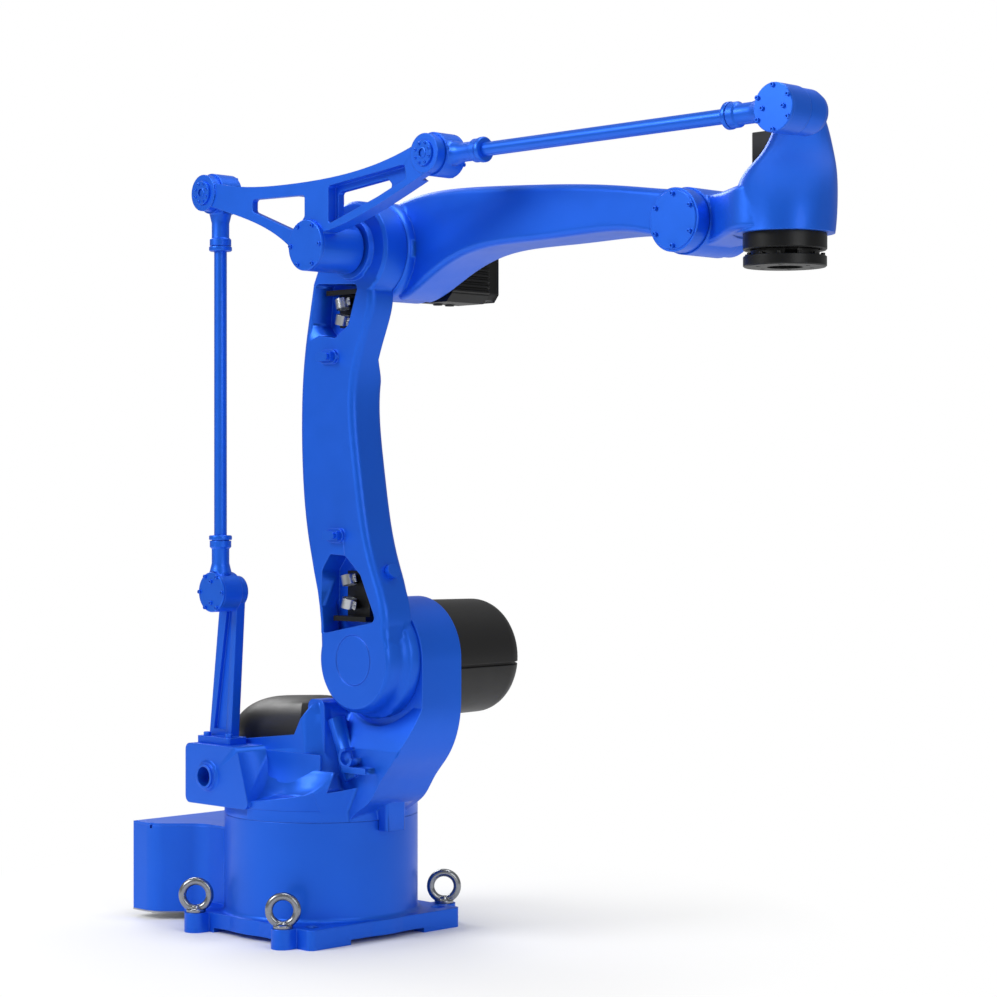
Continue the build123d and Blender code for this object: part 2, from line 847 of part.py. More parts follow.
def shoulder_cover():
    """The black ribbed cover over the shoulder motor."""
    start = upright_y[1] + cover_gap
    length = shoulder_cover_end_y - start
    outer = Pos(0, 0, length / 2) * Cylinder(shoulder_cover_radius, length)
    outer = fillet(outer.edges().group_by(Axis.Z)[-1], shoulder_cover_round)
    inner = Pos(0, 0, (length - cover_wall) / 2) * Cylinder(shoulder_cover_radius - cover_wall, length - cover_wall)
    inner = fillet(inner.edges().group_by(Axis.Z)[-1], shoulder_cover_round - cover_wall)
    shell = outer - inner
    for angle in (12, 102, 192, 282):
        groove = Pos(shoulder_cover_radius, 0, length / 2 + 20) * Box(5, 6, length)
        shell -= Rot(0, 0, angle) * groove
    return along_y(shell, shoulder_x, start, shoulder_z - shoulder_cover_drop)


def shoulder_motor():
    """The shoulder servo motor under its cover."""
    length = shoulder_motor_length
    body = Pos(0, 0, length / 2) * Box(2 * shoulder_motor_half, 2 * shoulder_motor_half, length)
    body = chamfer(body.edges().filter_by(Axis.Z), 10)
    body += z_cylinder(shoulder_motor_half * 0.8, 0, 0, length, length + 30)
    return along_y(body, shoulder_x, upright_y[1], shoulder_z)


def arm_beam():
    """The bowed beam of the lower arm, thinned behind where it passes other castings."""
    middle_y = (arm_front_y + arm_back_y) / 2
    depth = arm_back_y - arm_front_y
    faces = []
    for height, left, right in arm_roots[:1] + arm_sections + arm_roots[1:]:
        origin = (shoulder_x + (left + right) / 2, middle_y, shoulder_z + height)
        plane = Plane(origin=origin, x_dir=(1, 0, 0), z_dir=(0, 0, 1))
        faces.append(plane * RectangleRounded(right - left, depth, arm_corner_radius))
    beam = loft(faces[1:-1]) + loft(faces[:2], ruled=True) + loft(faces[-2:], ruled=True)
    relief_z = elbow_z - elbow_relief_length
    elbow_relief = polygon([
        (elbow_plane_y, relief_z),
        (arm_back_y, relief_z - 55),
        (0, relief_z - 55),
        (0, elbow_z + elbow_hub_radius),
        (elbow_plane_y, elbow_z + elbow_hub_radius),
    ])
    relief_z = shoulder_z + shoulder_relief_length
    shoulder_relief = polygon([
        (arm_hub_back_y, shoulder_z),
        (arm_hub_back_y, relief_z),
        (arm_back_y, relief_z + 55),
        (0, relief_z + 55),
        (0, shoulder_z),
    ])
    side = Plane(origin=(0, 0, 0), x_dir=(0, 1, 0), z_dir=(1, 0, 0))
    for face in (elbow_relief, shoulder_relief):
        beam -= extrude(side * face, shoulder_x + 2 * arm_hub_radius)
    return beam


def shoulder_hub():
    """The round hub of the lower arm at the shoulder."""
    depth = arm_hub_back_y - arm_front_y
    return against_y(turned([
        (0, 0),
        (arm_hub_radius + arm_hub_flare, 0),
        (arm_hub_radius + arm_hub_flare, 18),
        (arm_hub_radius + 3, 30),
        (arm_hub_radius, 40),
        (arm_hub_radius, depth - 8),
        (arm_hub_radius - 8, depth),
        (0, depth),
    ]), shoulder_x, arm_hub_back_y, shoulder_z)


def elbow_hub():
    """The round hub of the lower arm at the elbow, with the collar behind the bell crank."""
    depth = elbow_plane_y - arm_front_y
    return against_y(turned([
        (0, 0),
        (elbow_hub_radius, 0),
        (elbow_hub_radius, depth - 6),
        (elbow_hub_radius - 6, depth),
        (crank_hub_radius + 12, depth),
        (crank_hub_radius + 9, depth + 10),
        (0, depth + 10),
    ]), elbow_x, elbow_plane_y, elbow_z)


def lower_arm_casting():
    """The bowed lower arm with its two hubs, cable windows and lug pads."""
    body = arm_beam() + shoulder_hub() + elbow_hub()
    body -= face_groove()
    body -= low_window()
    body -= high_window()
    body += arm_lugs()
    body -= y_cylinder(elbow_shaft_radius + seat_gap, elbow_x, elbow_z, crank_front_y, elbow_shaft_seat_y)
    body -= arm_stop_place() * z_cylinder(arm_stop_radius + seat_gap, 0, 0, -arm_stop_depth, arm_stop_height)
    for place in lug_screw_places():
        body -= place * screw_hole(lug_screw_radius, lug_screw_length)
    return body


def face_groove():
    """The round groove in the shoulder face."""
    ring = Cylinder(arm_groove_radius + 1, 3) - Cylinder(arm_groove_radius - 1, 3)
    return against_y(ring, shoulder_x, arm_front_y, shoulder_z)


def low_window():
    """The pocket for the cable clamps above the shoulder."""
    corners = [(-68, 210), (-23, 207), (22, 170), (68, 79), (-96, 49), (-93, 177)]
    face = polygon([(shoulder_x + x, shoulder_z + z) for x, z in corners])
    face = fillet(face.vertices(), 11)
    return side_slab(face, arm_front_y - 1, arm_front_y + arm_window_depth)


def high_window():
    """The pocket for the cable clamps below the elbow."""
    corners = [(-111, -62), (16, -69), (-14, -149), (-53, -173), (-99, -167), (-120, -144)]
    face = polygon([(elbow_x + x, elbow_z + z) for x, z in corners])
    face = fillet(face.vertices(), 9)
    return side_slab(face, arm_front_y - 1, arm_front_y + arm_window_depth)


def lug_positions():
    """Middles of the lug pads, in X and Z."""
    return [(shoulder_x + ahead, shoulder_z + height) for ahead, height in lug_places]


def arm_lugs():
    """Two small cast pads on the face of the lower arm."""
    pads = []
    for x, z in lug_positions():
        face = Pos(x, z) * SlotOverall(lug_pad_length, lug_pad_width)
        pads.append(side_slab(face, arm_front_y - lug_pad_height, arm_front_y + 4))
    return pads[0] + pads[1]


def lug_screw_places():
    """Places where the lug blocks are screwed to the pads, heading out."""
    seat_y = arm_front_y - lug_pad_height
    return [Pos(x + 10, seat_y, z) * Rot(90, 0, 0) for x, z in lug_positions()]


def lug_blocks():
    """Two cable lug blocks on the pads of the lower arm."""
    blocks = []
    seat_y = arm_front_y - lug_pad_height
    for (x, z), place in zip(lug_positions(), lug_screw_places()):
        body = block((x - 24, x + 20), (seat_y - lug_block_height, seat_y), (z - 9, z + 9))
        body = fillet(body.edges().filter_by(Axis.Y), 4)
        body -= place * z_cylinder(lug_screw_radius + seat_gap, 0, 0, 0, lug_block_height)
        blocks.append(body)
    return blocks


def lug_screws():
    """Cap screws of the lug blocks."""
    screw = Pos(0, 0, lug_block_height) * cap_screw(lug_screw_radius, lug_screw_length + lug_block_height)
    return [place * screw for place in lug_screw_places()]


window_floor_y = arm_front_y + arm_window_depth
clamp_plate_y = (window_floor_y - clamp_plate_thickness, window_floor_y)
clamp_shelf_y = (window_floor_y - clamp_shelf_depth, window_floor_y)
def cable_brackets():
    """Black brackets in the two windows."""
    x, z = shoulder_x, shoulder_z
    low = block((x - 76, x + 20), clamp_shelf_y, (z + 76, z + 86))
    low += block((x - 60, x + 6), clamp_plate_y, (z + 86, z + 176))
    x, z = elbow_x, elbow_z
    high = block((x - 98, x - 8), clamp_shelf_y, (z - 86, z - 76))
    high += block((x - 84, x - 24), clamp_plate_y, (z - 150, z - 86))
    return [low, high]


def cable_clamps():
    """Steel band clamps on the brackets."""
    places = [
        (shoulder_x - 40, shoulder_z + 112),
        (shoulder_x - 40, shoulder_z + 158),
        (elbow_x - 58, elbow_z - 104),
        (elbow_x - 58, elbow_z - 136),
    ]
    band = Cylinder(clamp_radius, clamp_height) - Cylinder(clamp_radius - clamp_wall, clamp_height)
    return [Pos(x, clamp_plate_y[0] - clamp_radius - seat_gap, z) * band for x, z in places]


def arm_stop_place():
    """The seat of the rubber stop on the front edge of the lower arm."""
    return Pos(shoulder_x + 63, -72, shoulder_z + 175) * Rot(0, 67.5, 0)


def arm_stop():
    """The round rubber stop on the front edge of the lower arm."""
    return arm_stop_place() * z_cylinder(arm_stop_radius, 0, 0, -arm_stop_depth, arm_stop_height)


def elbow_shaft():
    """The stub shaft on the lower arm that carries the bell crank."""
    near = crank_front_y + crank_cap_thickness + pocket_gap
    return y_cylinder(elbow_shaft_radius, elbow_x, elbow_z, near, elbow_shaft_seat_y)


def crank_outline():
    """The side outline of the bell crank."""
    tx, tz = rear_high
    fx, fz = fore_near
    ex, ez = elbow_x, elbow_z
    top_start = (tx, tz + 26)
    top_end = (fx - 12, fz + 24)
    low_start = (fx + 6, fz - 35)
    low_end = (ex + 40, ez + 22)
    left_start = (ex - 52, ez - 1)
    left_end = (tx + 6, tz - 24)
    top = Spline(
        top_start,
        (ex - 200, ez + 131),
        (ex - 60, ez + 124),
        (ex + 60, ez + 126),
        (ex + 190, ez + 139),
        top_end,
    )
    right_low = Spline(low_start, (ex + 201, ez + 63), (ex + 75, ez + 28), low_end)
    left_low = Spline(left_start, (ex - 82, ez + 19), (ex - 235, ez + 80), left_end)
    ends = Line(top_end, low_start) + Line(low_end, left_start) + Line(left_end, top_start)
    return make_face(top + right_low + left_low + ends)


def crank_left_window():
    """The opening in the rear half of the bell crank."""
    corners = [(-169, 103), (-10, 99), (-10, 57), (-37, 29.5), (-169, 79)]
    face = polygon([(elbow_x + x, elbow_z + z) for x, z in corners])
    return fillet(face.vertices(), 7)


def crank_right_window():
    """The opening in the front half of the bell crank."""
    corners = [(68, 99), (209, 113), (226, 97), (68, 41)]
    face = polygon([(elbow_x + x, elbow_z + z) for x, z in corners])
    return fillet(face.vertices(), 7)


def crank_pocket():
    """The shallow pocket in front of the web of the front half."""
    corners = [(60, 111), (190, 124), (276, 133), (281, 106), (201, 78), (60, 37)]
    face = polygon([(elbow_x + x, elbow_z + z) for x, z in corners])
    return fillet(face.vertices(), 6)


def crank_rear_relief():
    """The part behind the rear half where the casting is only a thin plate."""
    corners = [(-400, -60), (-44, -60), (-44, 108), (-240, 119), (-240, 220), (-400, 220)]
    return polygon([(elbow_x + x, elbow_z + z) for x, z in corners])


def bell_crank_casting():
    """The bell crank: thin rear plate, ribbed front half, hub and end discs."""
    near = crank_front_y + crank_cap_thickness
    far = near + crank_depth
    link_y = rod_plane_y - rod_end_width / 2 - face_gap
    body = side_slab(crank_outline(), near, far)
    body -= side_slab(crank_rear_relief(), near + crank_plate_thickness, far)
    body -= side_slab(crank_pocket(), near, near + crank_web_recess)
    body -= side_slab(crank_left_window(), near, far)
    body -= side_slab(crank_right_window(), near, far)
    body -= y_cylinder(rod_end_radius + 12, *fore_near, link_y, far)
    body += y_cylinder(crank_hub_radius, elbow_x, elbow_z, near, crank_hub_back_y)
    for x, z in (rear_high, fore_near):
        end_near = crank_front_y + crank_end_cap_thickness
        body += y_cylinder(crank_end_radius, x, z, end_near, link_y)
        body -= y_cylinder(rod_pin_radius + seat_gap, x, z, end_near, link_y)
    body -= y_cylinder(crank_bearing_radius + seat_gap, elbow_x, elbow_z, near, crank_hub_back_y)
    for place in hub_cap_screw_places():
        body -= place * screw_hole(hub_screw_radius, hub_screw_length)
    return body


def crank_bearings():
    """Two bearing rings between the bell crank and its shaft."""
    width = crank_bearing_width
    ring = Cylinder(crank_bearing_radius, width) - Cylinder(elbow_shaft_radius + running_gap, width)
    near = crank_front_y + crank_cap_thickness + 10 + width / 2
    far = crank_hub_back_y - 5 - width / 2
    return [Pos(elbow_x, y, elbow_z) * Rot(90, 0, 0) * ring for y in (near, far)]


def hub_cap_screw_places():
    """Places of the screws on the hub cap of the bell crank."""
    seat = Pos(elbow_x, crank_front_y + crank_cap_thickness, elbow_z) * Rot(90, 0, 0)
    return [seat * place for place in ring_places(hub_screw_circle, 6, 0)]


def crank_hub_cap():
    """The round cover on the hub of the bell crank."""
    cap = against_y(turned([
        (0, 0),
        (crank_hub_radius, 0),
        (crank_hub_radius, crank_cap_thickness - 1.5),
        (crank_hub_radius - 1.5, crank_cap_thickness),
        (0, crank_cap_thickness),
    ]), elbow_x, crank_front_y + crank_cap_thickness, elbow_z)
    for place in hub_cap_screw_places():
        cap -= place * z_cylinder(hub_screw_radius + seat_gap, 0, 0, 0, crank_cap_thickness)
    return cap


def hub_cap_screws():
    """Cap screws of the hub cover."""
    screw = Pos(0, 0, crank_cap_thickness) * cap_screw(hub_screw_radius, hub_screw_length + crank_cap_thickness - 1)
    return [place * screw for place in hub_cap_screw_places()]


def link_pin(x, z, near, far):
    """A plain hardened pin through a link joint."""
    pin = Cylinder(rod_pin_radius, far - near)
    pin = chamfer(pin.edges(), 1)
    return Pos(x, (near + far) / 2, z) * Rot(90, 0, 0) * pin


link_pin_near_y = rod_plane_y - rod_end_width / 2 + rod_cap_thickness + pocket_gap


def crank_pins():
    """The two flanged pins at the ends of the bell crank."""
    pins = []
    seat = crank_front_y + crank_end_cap_thickness
    far = rod_plane_y + rod_end_width / 2 - rod_cap_thickness - pocket_gap
    for x, z in (rear_high, fore_near):
        cap = against_y(turned([
            (0, 0),
            (crank_end_cap_radius, 0),
            (crank_end_cap_radius, crank_end_cap_thickness - 1),
            (crank_end_cap_radius - 1, crank_end_cap_thickness),
            (10, crank_end_cap_thickness),
            (10, crank_end_cap_thickness - 2),
            (0, crank_end_cap_thickness - 2),
        ]), x, seat, z)
        pins.append(cap + y_cylinder(rod_pin_radius, x, z, seat - 1, far))
    return pins


def rod_cap_places():
    """Places of the cap screws on a rod end, about its pivot."""
    return ring_places(rod_screw_circle, 6, 0)


def rod_jack_places():
    """Places of the two short jacking screws, in line with the rod."""
    return ring_places(rod_jack_screw_circle, 2, 90)


def rod_end_housing(side, toward):
    """One rod end about the origin: its bore lies on Y and its neck points up or down."""
    half = rod_end_width / 2
    neck_top = rod_neck_end + rod_collar_length
    throat = Pos(0, 0, rod_end_radius + 6) * Cone(rod_throat_radius, rod_neck_radius, 24)
    collar = turned([
        (0, rod_neck_end - 4),
        (rod_neck_radius, rod_neck_end - 4),
        (rod_collar_radius, rod_neck_end),
        (rod_collar_radius, neck_top),
        (0, neck_top),
    ])
    shape = z_cylinder(rod_neck_radius, 0, 0, 0, rod_neck_end) + throat + collar
    shape -= z_cylinder(rod_radius + seat_gap, 0, 0, neck_top - rod_socket_depth, neck_top)
    if toward < 0:
        shape = Rot(180, 0, 0) * shape
    shape += y_cylinder(rod_end_radius, 0, 0, -half, half)
    cap_inner = side * (half - rod_cap_thickness)
    bearing_inner = cap_inner - side * rod_bearing_width
    shape -= y_cylinder(rod_end_radius + 1, 0, 0, *sorted((cap_inner, side * half)))
    shape -= y_cylinder(rod_end_bore_radius, 0, 0, *sorted((cap_inner, bearing_inner)))
    shape -= y_cylinder(rod_pin_radius + 3, 0, 0, -half, half)
    for place in rod_cap_places():
        shape -= rod_cap_seat(side, cap_inner) * place * screw_hole(rod_screw_radius, rod_screw_length)
    return shape


def rod_cap_seat(side, y):
    """The frame at a depth in Y whose own Z points out of the covered side of a rod end."""
    return Pos(0, y, 0) * Rot(-side * 90, 0, 0)


def rod_bearing(side):
    """The bearing inside a rod end."""
    width = rod_bearing_width - 1
    ring = Cylinder(rod_end_bore_radius - seat_gap, width) - Cylinder(rod_pin_radius + running_gap, width)
    cap_inner = side * (rod_end_width / 2 - rod_cap_thickness)
    return Pos(0, cap_inner - side * rod_bearing_width / 2, 0) * Rot(90, 0, 0) * ring


def rod_cap(side):
    """The round cover on one side of a rod end."""
    cap = turned([
        (0, 0),
        (rod_end_radius, 0),
        (rod_end_radius, rod_cap_thickness - 1.5),
        (rod_end_radius - 1.5, rod_cap_thickness),
        (0, rod_cap_thickness),
    ])
    for place in rod_cap_places() + rod_jack_places():
        cap -= place * z_cylinder(rod_screw_radius + seat_gap, 0, 0, 0, rod_cap_thickness)
    return rod_cap_seat(side, side * (rod_end_width / 2 - rod_cap_thickness)) * cap


def rod_cap_screws(side):
    """Cap screws and jacking screws of one rod end cover."""
    seat = rod_cap_seat(side, side * rod_end_width / 2)
    screw = cap_screw(rod_screw_radius, rod_screw_length + rod_cap_thickness - 1)
    jack = cap_screw(rod_screw_radius, rod_cap_thickness)
    screws = [seat * place * screw for place in rod_cap_places()]
    return screws + [seat * place * jack for place in rod_jack_places()]


def rod_nut(toward):
    """The round lock nut between a rod end and its tube."""
    low = rod_neck_end + rod_collar_length
    nut = turned([
        (rod_radius + seat_gap, low),
        (rod_collar_radius - 4, low),
        (rod_collar_radius - 4, low + 1.5),
        (rod_nut_radius - 1, low + 1.5),
        (rod_nut_radius, low + 3),
        (rod_nut_radius, low + rod_nut_length - 2),
        (rod_nut_radius - 2, low + rod_nut_length),
        (rod_radius + seat_gap, low + rod_nut_length),
    ])
    return nut if toward > 0 else Rot(180, 0, 0) * nut


def make_rod(prefix, length, sides, place):
    """A link rod from the origin up Z, put in its place: tube, ends, nuts, bearings and caps."""
    start_side, end_side = sides
    top = Pos(0, 0, length)
    socket = rod_neck_end + rod_collar_length - rod_socket_depth + 1
    tube = z_cylinder(rod_radius, 0, 0, socket, length - socket)
    add(prefix + "_tube", place * tube)
    add(prefix + "_ends", place * rod_end_housing(start_side, 1), place * top * rod_end_housing(end_side, -1))
    add(prefix + "_lock_nuts", place * rod_nut(1), place * top * rod_nut(-1))
    add(prefix + "_bearings", place * rod_bearing(start_side), place * top * rod_bearing(end_side))
    add(prefix + "_caps", place * rod_cap(start_side), place * top * rod_cap(end_side))
    screws = [place * screw for screw in rod_cap_screws(start_side)]
    screws += [place * top * screw for screw in rod_cap_screws(end_side)]
    add(prefix + "_cap_screws", *screws)


def forearm_beam():
    """The curved beam of the forearm, from the elbow barrel to the wrist fork."""
    faces = []
    for ahead, near, far, low, high in forearm_sections:
        origin = (elbow_x + ahead, (near + far) / 2, elbow_z + (low + high) / 2)
        plane = Plane(origin=origin, x_dir=(0, 1, 0), z_dir=(1, 0, 0))
        faces.append(plane * RectangleRounded(far - near, high - low, forearm_corner_radius))
    return loft(faces)


def elbow_barrel():
    """The round barrel of the forearm about the elbow."""
    near = elbow_plane_y + face_gap
    length = forearm_barrel_end_y - near
    return along_y(turned([
        (0, 0),
        (elbow_hub_radius + 1, 0),
        (elbow_hub_radius + 5, 4),
        (elbow_hub_radius + 5, 18),
        (elbow_hub_radius + 2, 30),
        (elbow_hub_radius + 2, length - 8),
        (elbow_hub_radius - 6, length),
        (0, length),
    ]), elbow_x, near, elbow_z)


def wrist_slot():
    """The gap of the wrist fork, in which the tongue turns."""
    half = ear_inner_half
    reach = tongue_radius + pocket_gap
    slot = y_cylinder(reach, wrist_x, wrist_z, -half, half)
    return slot + block((wrist_x, wrist_x + 2 * reach), (-half, half), (wrist_z - 2 * reach, wrist_z + 2 * reach))


def forearm_casting():
    """The forearm: elbow barrel, curved beam and the fork at the wrist."""
    near = elbow_plane_y + face_gap
    bore_end = near + elbow_reducer_depth + 1
    body = forearm_beam() + elbow_barrel()
    body += y_cylinder(wrist_ear_radius, wrist_x, wrist_z, -ear_half_width, ear_half_width)
    body -= block(
        (elbow_x, elbow_x + forearm_inner_reach),
        (-ear_half_width, near),
        (elbow_z - 2 * elbow_hub_radius, elbow_z + 2 * elbow_hub_radius),
    )
    body -= wrist_slot()
    body -= y_cylinder(wrist_pin_radius + seat_gap, wrist_x, wrist_z, -ear_half_width, ear_half_width)
    body -= y_cylinder(elbow_reducer_radius + face_gap, elbow_x, elbow_z, near, bore_end)
    for place in wrist_cap_screw_places(-1) + wrist_cap_screw_places(1):
        body -= place * screw_hole(hub_screw_radius, hub_screw_length)
    return body - elbow_motor_room()


def elbow_motor_room():
    """The room of the elbow motor behind its mounting face."""
    half = elbow_motor_half + pocket_gap
    return block(
        (elbow_motor_x - half, elbow_motor_x + half),
        (forearm_barrel_end_y, forearm_barrel_end_y + elbow_motor_length),
        (elbow_motor_z - half, elbow_motor_z + half),
    )


def wrist_cap_screw_places(side):
    """Places of the screws round a wrist pin cover."""
    seat = Pos(wrist_x, side * ear_half_width, wrist_z) * Rot(-side * 90, 0, 0)
    return [seat * place for place in ring_places(wrist_cap_screw_circle, 6, 30)]


def wrist_pin_covers():
    """The round covers over the two ends of the wrist pin."""
    covers = []
    for side in (-1, 1):
        cover = Pos(wrist_x, side * ear_half_width, wrist_z) * Rot(-side * 90, 0, 0) * turned([
            (0, 0),
            (wrist_cap_radius, 0),
            (wrist_cap_radius, wrist_cap_thickness - 1),
            (wrist_cap_radius - 1, wrist_cap_thickness),
            (0, wrist_cap_thickness),
        ])
        for place in wrist_cap_screw_places(side):
            cover -= place * z_cylinder(hub_screw_radius + seat_gap, 0, 0, 0, wrist_cap_thickness)
        covers.append(cover)
    return covers


def wrist_pin_screws():
    """Cap screws of the wrist pin covers."""
    screw = Pos(0, 0, wrist_cap_thickness) * cap_screw(hub_screw_radius, hub_screw_length + wrist_cap_thickness - 1)
    return [place * screw for side in (-1, 1) for place in wrist_cap_screw_places(side)]


def wrist_pin():
    """The through pin of the wrist pivot."""
    half = ear_half_width - cover_gap
    return y_cylinder(wrist_pin_radius, wrist_x, wrist_z, -half, half)


def elbow_reducer():
    """The elbow reducer's output, bolted to the lower arm inside the forearm barrel."""
    return along_y(turned([
        (0, 0),
        (elbow_reducer_radius, 0),
        (elbow_reducer_radius, elbow_reducer_depth - 15),
        (elbow_reducer_radius - 10, elbow_reducer_depth - 15),
        (elbow_reducer_radius - 10, elbow_reducer_depth),
        (0, elbow_reducer_depth),
    ]), elbow_x, elbow_plane_y, elbow_z)


def elbow_motor():
    """The finned elbow servo motor on the far side of the forearm."""
    near = forearm_barrel_end_y
    far = near + elbow_motor_length
    x, z, half = elbow_motor_x, elbow_motor_z, elbow_motor_half
    core = half - 7
    body = block((x - half, x + half), (near, near + 14), (z - half, z + half))
    body += block((x - core, x + core), (near + 14, far - 40), (z - core, z + core))
    pitch = 2 * half / elbow_motor_fins
    for index in range(elbow_motor_fins):
        low = z - half + pitch * (index + 0.3)
        body += block((x - half, x + half), (near + 14, far - 46), (low, low + pitch * 0.4))
    cap = block((x - half + 3, x + half - 3), (far - 40, far), (z - half + 3, z + half - 3))
    body += fillet(cap.edges().filter_by(Axis.Y), 16)
    corner_cut = block((x, x + 2 * half), (near, far), (z - 2 * half, z))
    rounded = y_cylinder(half, x, z, near, far)
    return body - (corner_cut - rounded)


def wrist_head():
    """The round head that leans over to the ear of the upper link."""
    faces = []
    for height, ahead, across, width in wrist_sections:
        plane = Plane(origin=(flange_x + ahead, across, height), x_dir=(1, 0, 0), z_dir=(0, 0, 1))
        faces.append(plane * RectangleRounded(width, width, 0.46 * width))
    return loft(faces)


def wrist_neck():
    """The neck between the tongue and the head."""
    half = ear_inner_half - 1
    faces = []
    for x, reach, low, high in (
        (wrist_x + 8, half - 1, -46, 46),
        (wrist_x + 62, half, -42, 45),
        (flange_x - 60, head_radius - 5, -32, 46),
        (flange_x, head_radius - 1, -32, 56),
    ):
        plane = Plane(origin=(x, 0, wrist_z + (low + high) / 2), x_dir=(0, 1, 0), z_dir=(1, 0, 0))
        faces.append(plane * RectangleRounded(2 * reach, high - low, 12))
    neck = loft(faces)
    for side in (-1, 1):
        near, far = sorted((side * half, side * 2 * head_radius))
        neck -= y_cylinder(wrist_ear_radius + 4, wrist_x, wrist_z, near, far)
    return neck


def link_ear():
    """The rounded ear that holds the upper link rod."""
    x, z = fore_far
    near = rod_plane_y + rod_end_width / 2 + face_gap
    length = link_ear_back_y - near
    return against_y(turned([
        (0, 0),
        (link_ear_radius - 17, 0),
        (link_ear_radius - 5, 8),
        (link_ear_radius, 22),
        (link_ear_radius, length - 4),
        (link_ear_radius - 4, length),
        (0, length),
    ]), x, link_ear_back_y, z)


def wrist_casting():
    """The wrist: tongue, neck, head over the tool axis and the ear of the upper link."""
    tongue_half = ear_inner_half - 1
    tongue = y_cylinder(tongue_radius, wrist_x, wrist_z, -tongue_half, tongue_half)
    body = tongue + wrist_neck() + wrist_head() + link_ear()
    body -= y_cylinder(wrist_pin_radius + running_gap, wrist_x, wrist_z, -tongue_half, tongue_half)
    body -= y_cylinder(rod_pin_radius + seat_gap, *fore_far, rod_plane_y, link_pin_back_y)
    body -= z_cylinder(head_radius + 5, flange_x, 0, flange_bottom_z, head_bottom_z)
    half = wrist_motor_half + pocket_gap
    body -= block((flange_x - half, flange_x + half), (-half, half), (wrist_motor_seat_z, wrist_motor_top_z + 40))
    return body


def wrist_motor():
    """The wrist servo motor standing on the head."""
    half = wrist_motor_half
    body = block((flange_x - half, flange_x + half), (-half, half), (wrist_motor_seat_z, wrist_motor_top_z))
    return chamfer(body.edges().filter_by(Axis.Z), 4)


def wrist_reducer():
    """The black reducer ring under the wrist head."""
    return Pos(flange_x, 0, 0) * turned([
        (0, ring_bottom_z),
        (ring_radius - 2, ring_bottom_z),
        (ring_radius, ring_bottom_z + 2),
        (ring_radius, head_bottom_z),
        (0, head_bottom_z),
    ])


def tool_flange():
    """The turning tool flange with its pilot bore and bolt circle."""
    top = ring_bottom_z - face_gap
    body = turned([
        (0, flange_bottom_z + flange_pilot_depth),
        (flange_pilot_radius, flange_bottom_z + flange_pilot_depth),
        (flange_pilot_radius, flange_bottom_z),
        (flange_radius - 2, flange_bottom_z),
        (flange_radius, flange_bottom_z + 2),
        (flange_radius, flange_neck_bottom_z - 1),
        (flange_radius - 1, flange_neck_bottom_z),
        (flange_neck_radius, flange_neck_bottom_z),
        (flange_neck_radius, top),
        (0, top),
    ])
    for place in ring_places(flange_bolt_circle / 2, flange_bolt_count, 0):
        body -= place * z_cylinder(flange_bolt_radius, 0, 0, flange_bottom_z, flange_bottom_z + flange_bolt_depth)
    return Pos(flange_x, 0, 0) * body


def build_base():
    """All nodes that stay on the floor."""
    add("base_casting", base_casting())
    add("terminal_box_lid", terminal_box_lid())
    add("lid_screws", *lid_screws())
    add("rear_panel", rear_panel())
    add("rear_connectors", *rear_connectors())
    add("lifting_eyebolts", *eyebolts())
    add("waist_reducer", waist_reducer())


def build_turret():
    """All nodes that turn about the waist axis."""
    add("turret_casting", turret_casting())
    add("waist_motor", waist_motor())
    add("waist_motor_cover", waist_cover())
    add("link_post", link_post())
    add("link_post_screws", *post_screws())
    add("rear_link_pin", link_pin(*rear_low, link_pin_near_y, post_y[1]))
    add("shoulder_reducer", shoulder_reducer())
    add("shoulder_motor", shoulder_motor())
    add("shoulder_motor_cover", shoulder_cover())


def build_lower_arm():
    """All nodes of the lower arm."""
    add("lower_arm_casting", lower_arm_casting())
    add("cable_brackets", *cable_brackets())
    add("cable_clamps", *cable_clamps())
    add("lug_blocks", *lug_blocks())
    add("lug_screws", *lug_screws())
    add("arm_stop", arm_stop())
    add("elbow_shaft", elbow_shaft())
    add("elbow_reducer", elbow_reducer())


def build_crank():
    """All nodes of the bell crank."""
    add("bell_crank_casting", bell_crank_casting())
    add("crank_bearings", *crank_bearings())
    add("crank_hub_cap", crank_hub_cap())
    add("crank_hub_screws", *hub_cap_screws())
    add("crank_link_pins", *crank_pins())


def build_rods():
    """The two link rods."""
    lower = Pos(rear_low[0], rod_plane_y, rear_low[1])
    make_rod("rear_rod", lower_arm_length, (-1, 1), lower)
    upper = Pos(fore_near[0], rod_plane_y, fore_near[1]) * Rot(0, 90, 0)
    make_rod("upper_rod", forearm_length, (1, -1), upper)


def build_forearm():
    """All nodes of the forearm."""
    add("forearm_casting", forearm_casting())
    add("elbow_motor", elbow_motor())
    add("wrist_pin", wrist_pin())
    add("wrist_pin_covers", *wrist_pin_covers())
    add("wrist_pin_screws", *wrist_pin_screws())


def build_wrist():
    """All nodes of the wrist and the tool flange."""
    add("wrist_casting", wrist_casting())
    add("wrist_motor", wrist_motor())
    add("wrist_reducer", wrist_reducer())
    add("upper_link_pin", link_pin(*fore_far, link_pin_near_y, link_pin_back_y))
    add("tool_flange", tool_flange())


def main():
    """Builds every node and writes one file for each."""
    build_base()
    build_turret()
    build_lower_arm()
    build_crank()
    build_rods()
    build_forearm()
    build_wrist()
    os.makedirs("parts", exist_ok=True)
    for name, solids in nodes.items():
        shape = solids[0] if len(solids) == 1 else Compound(solids)
        export_step(shape, f"parts/{name}.step")


main()
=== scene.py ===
"""The visual model of a palletizing robot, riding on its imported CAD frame.

Every length is in metres in the CAD's own frame: X forward to the tool, Y away
from the photographed side and Z up, with the origin under the waist axis.
"""

import json
import logging
import math
from dataclasses import dataclass
from enum import Enum

import bmesh
import bpy
from mathutils import Matrix, Vector

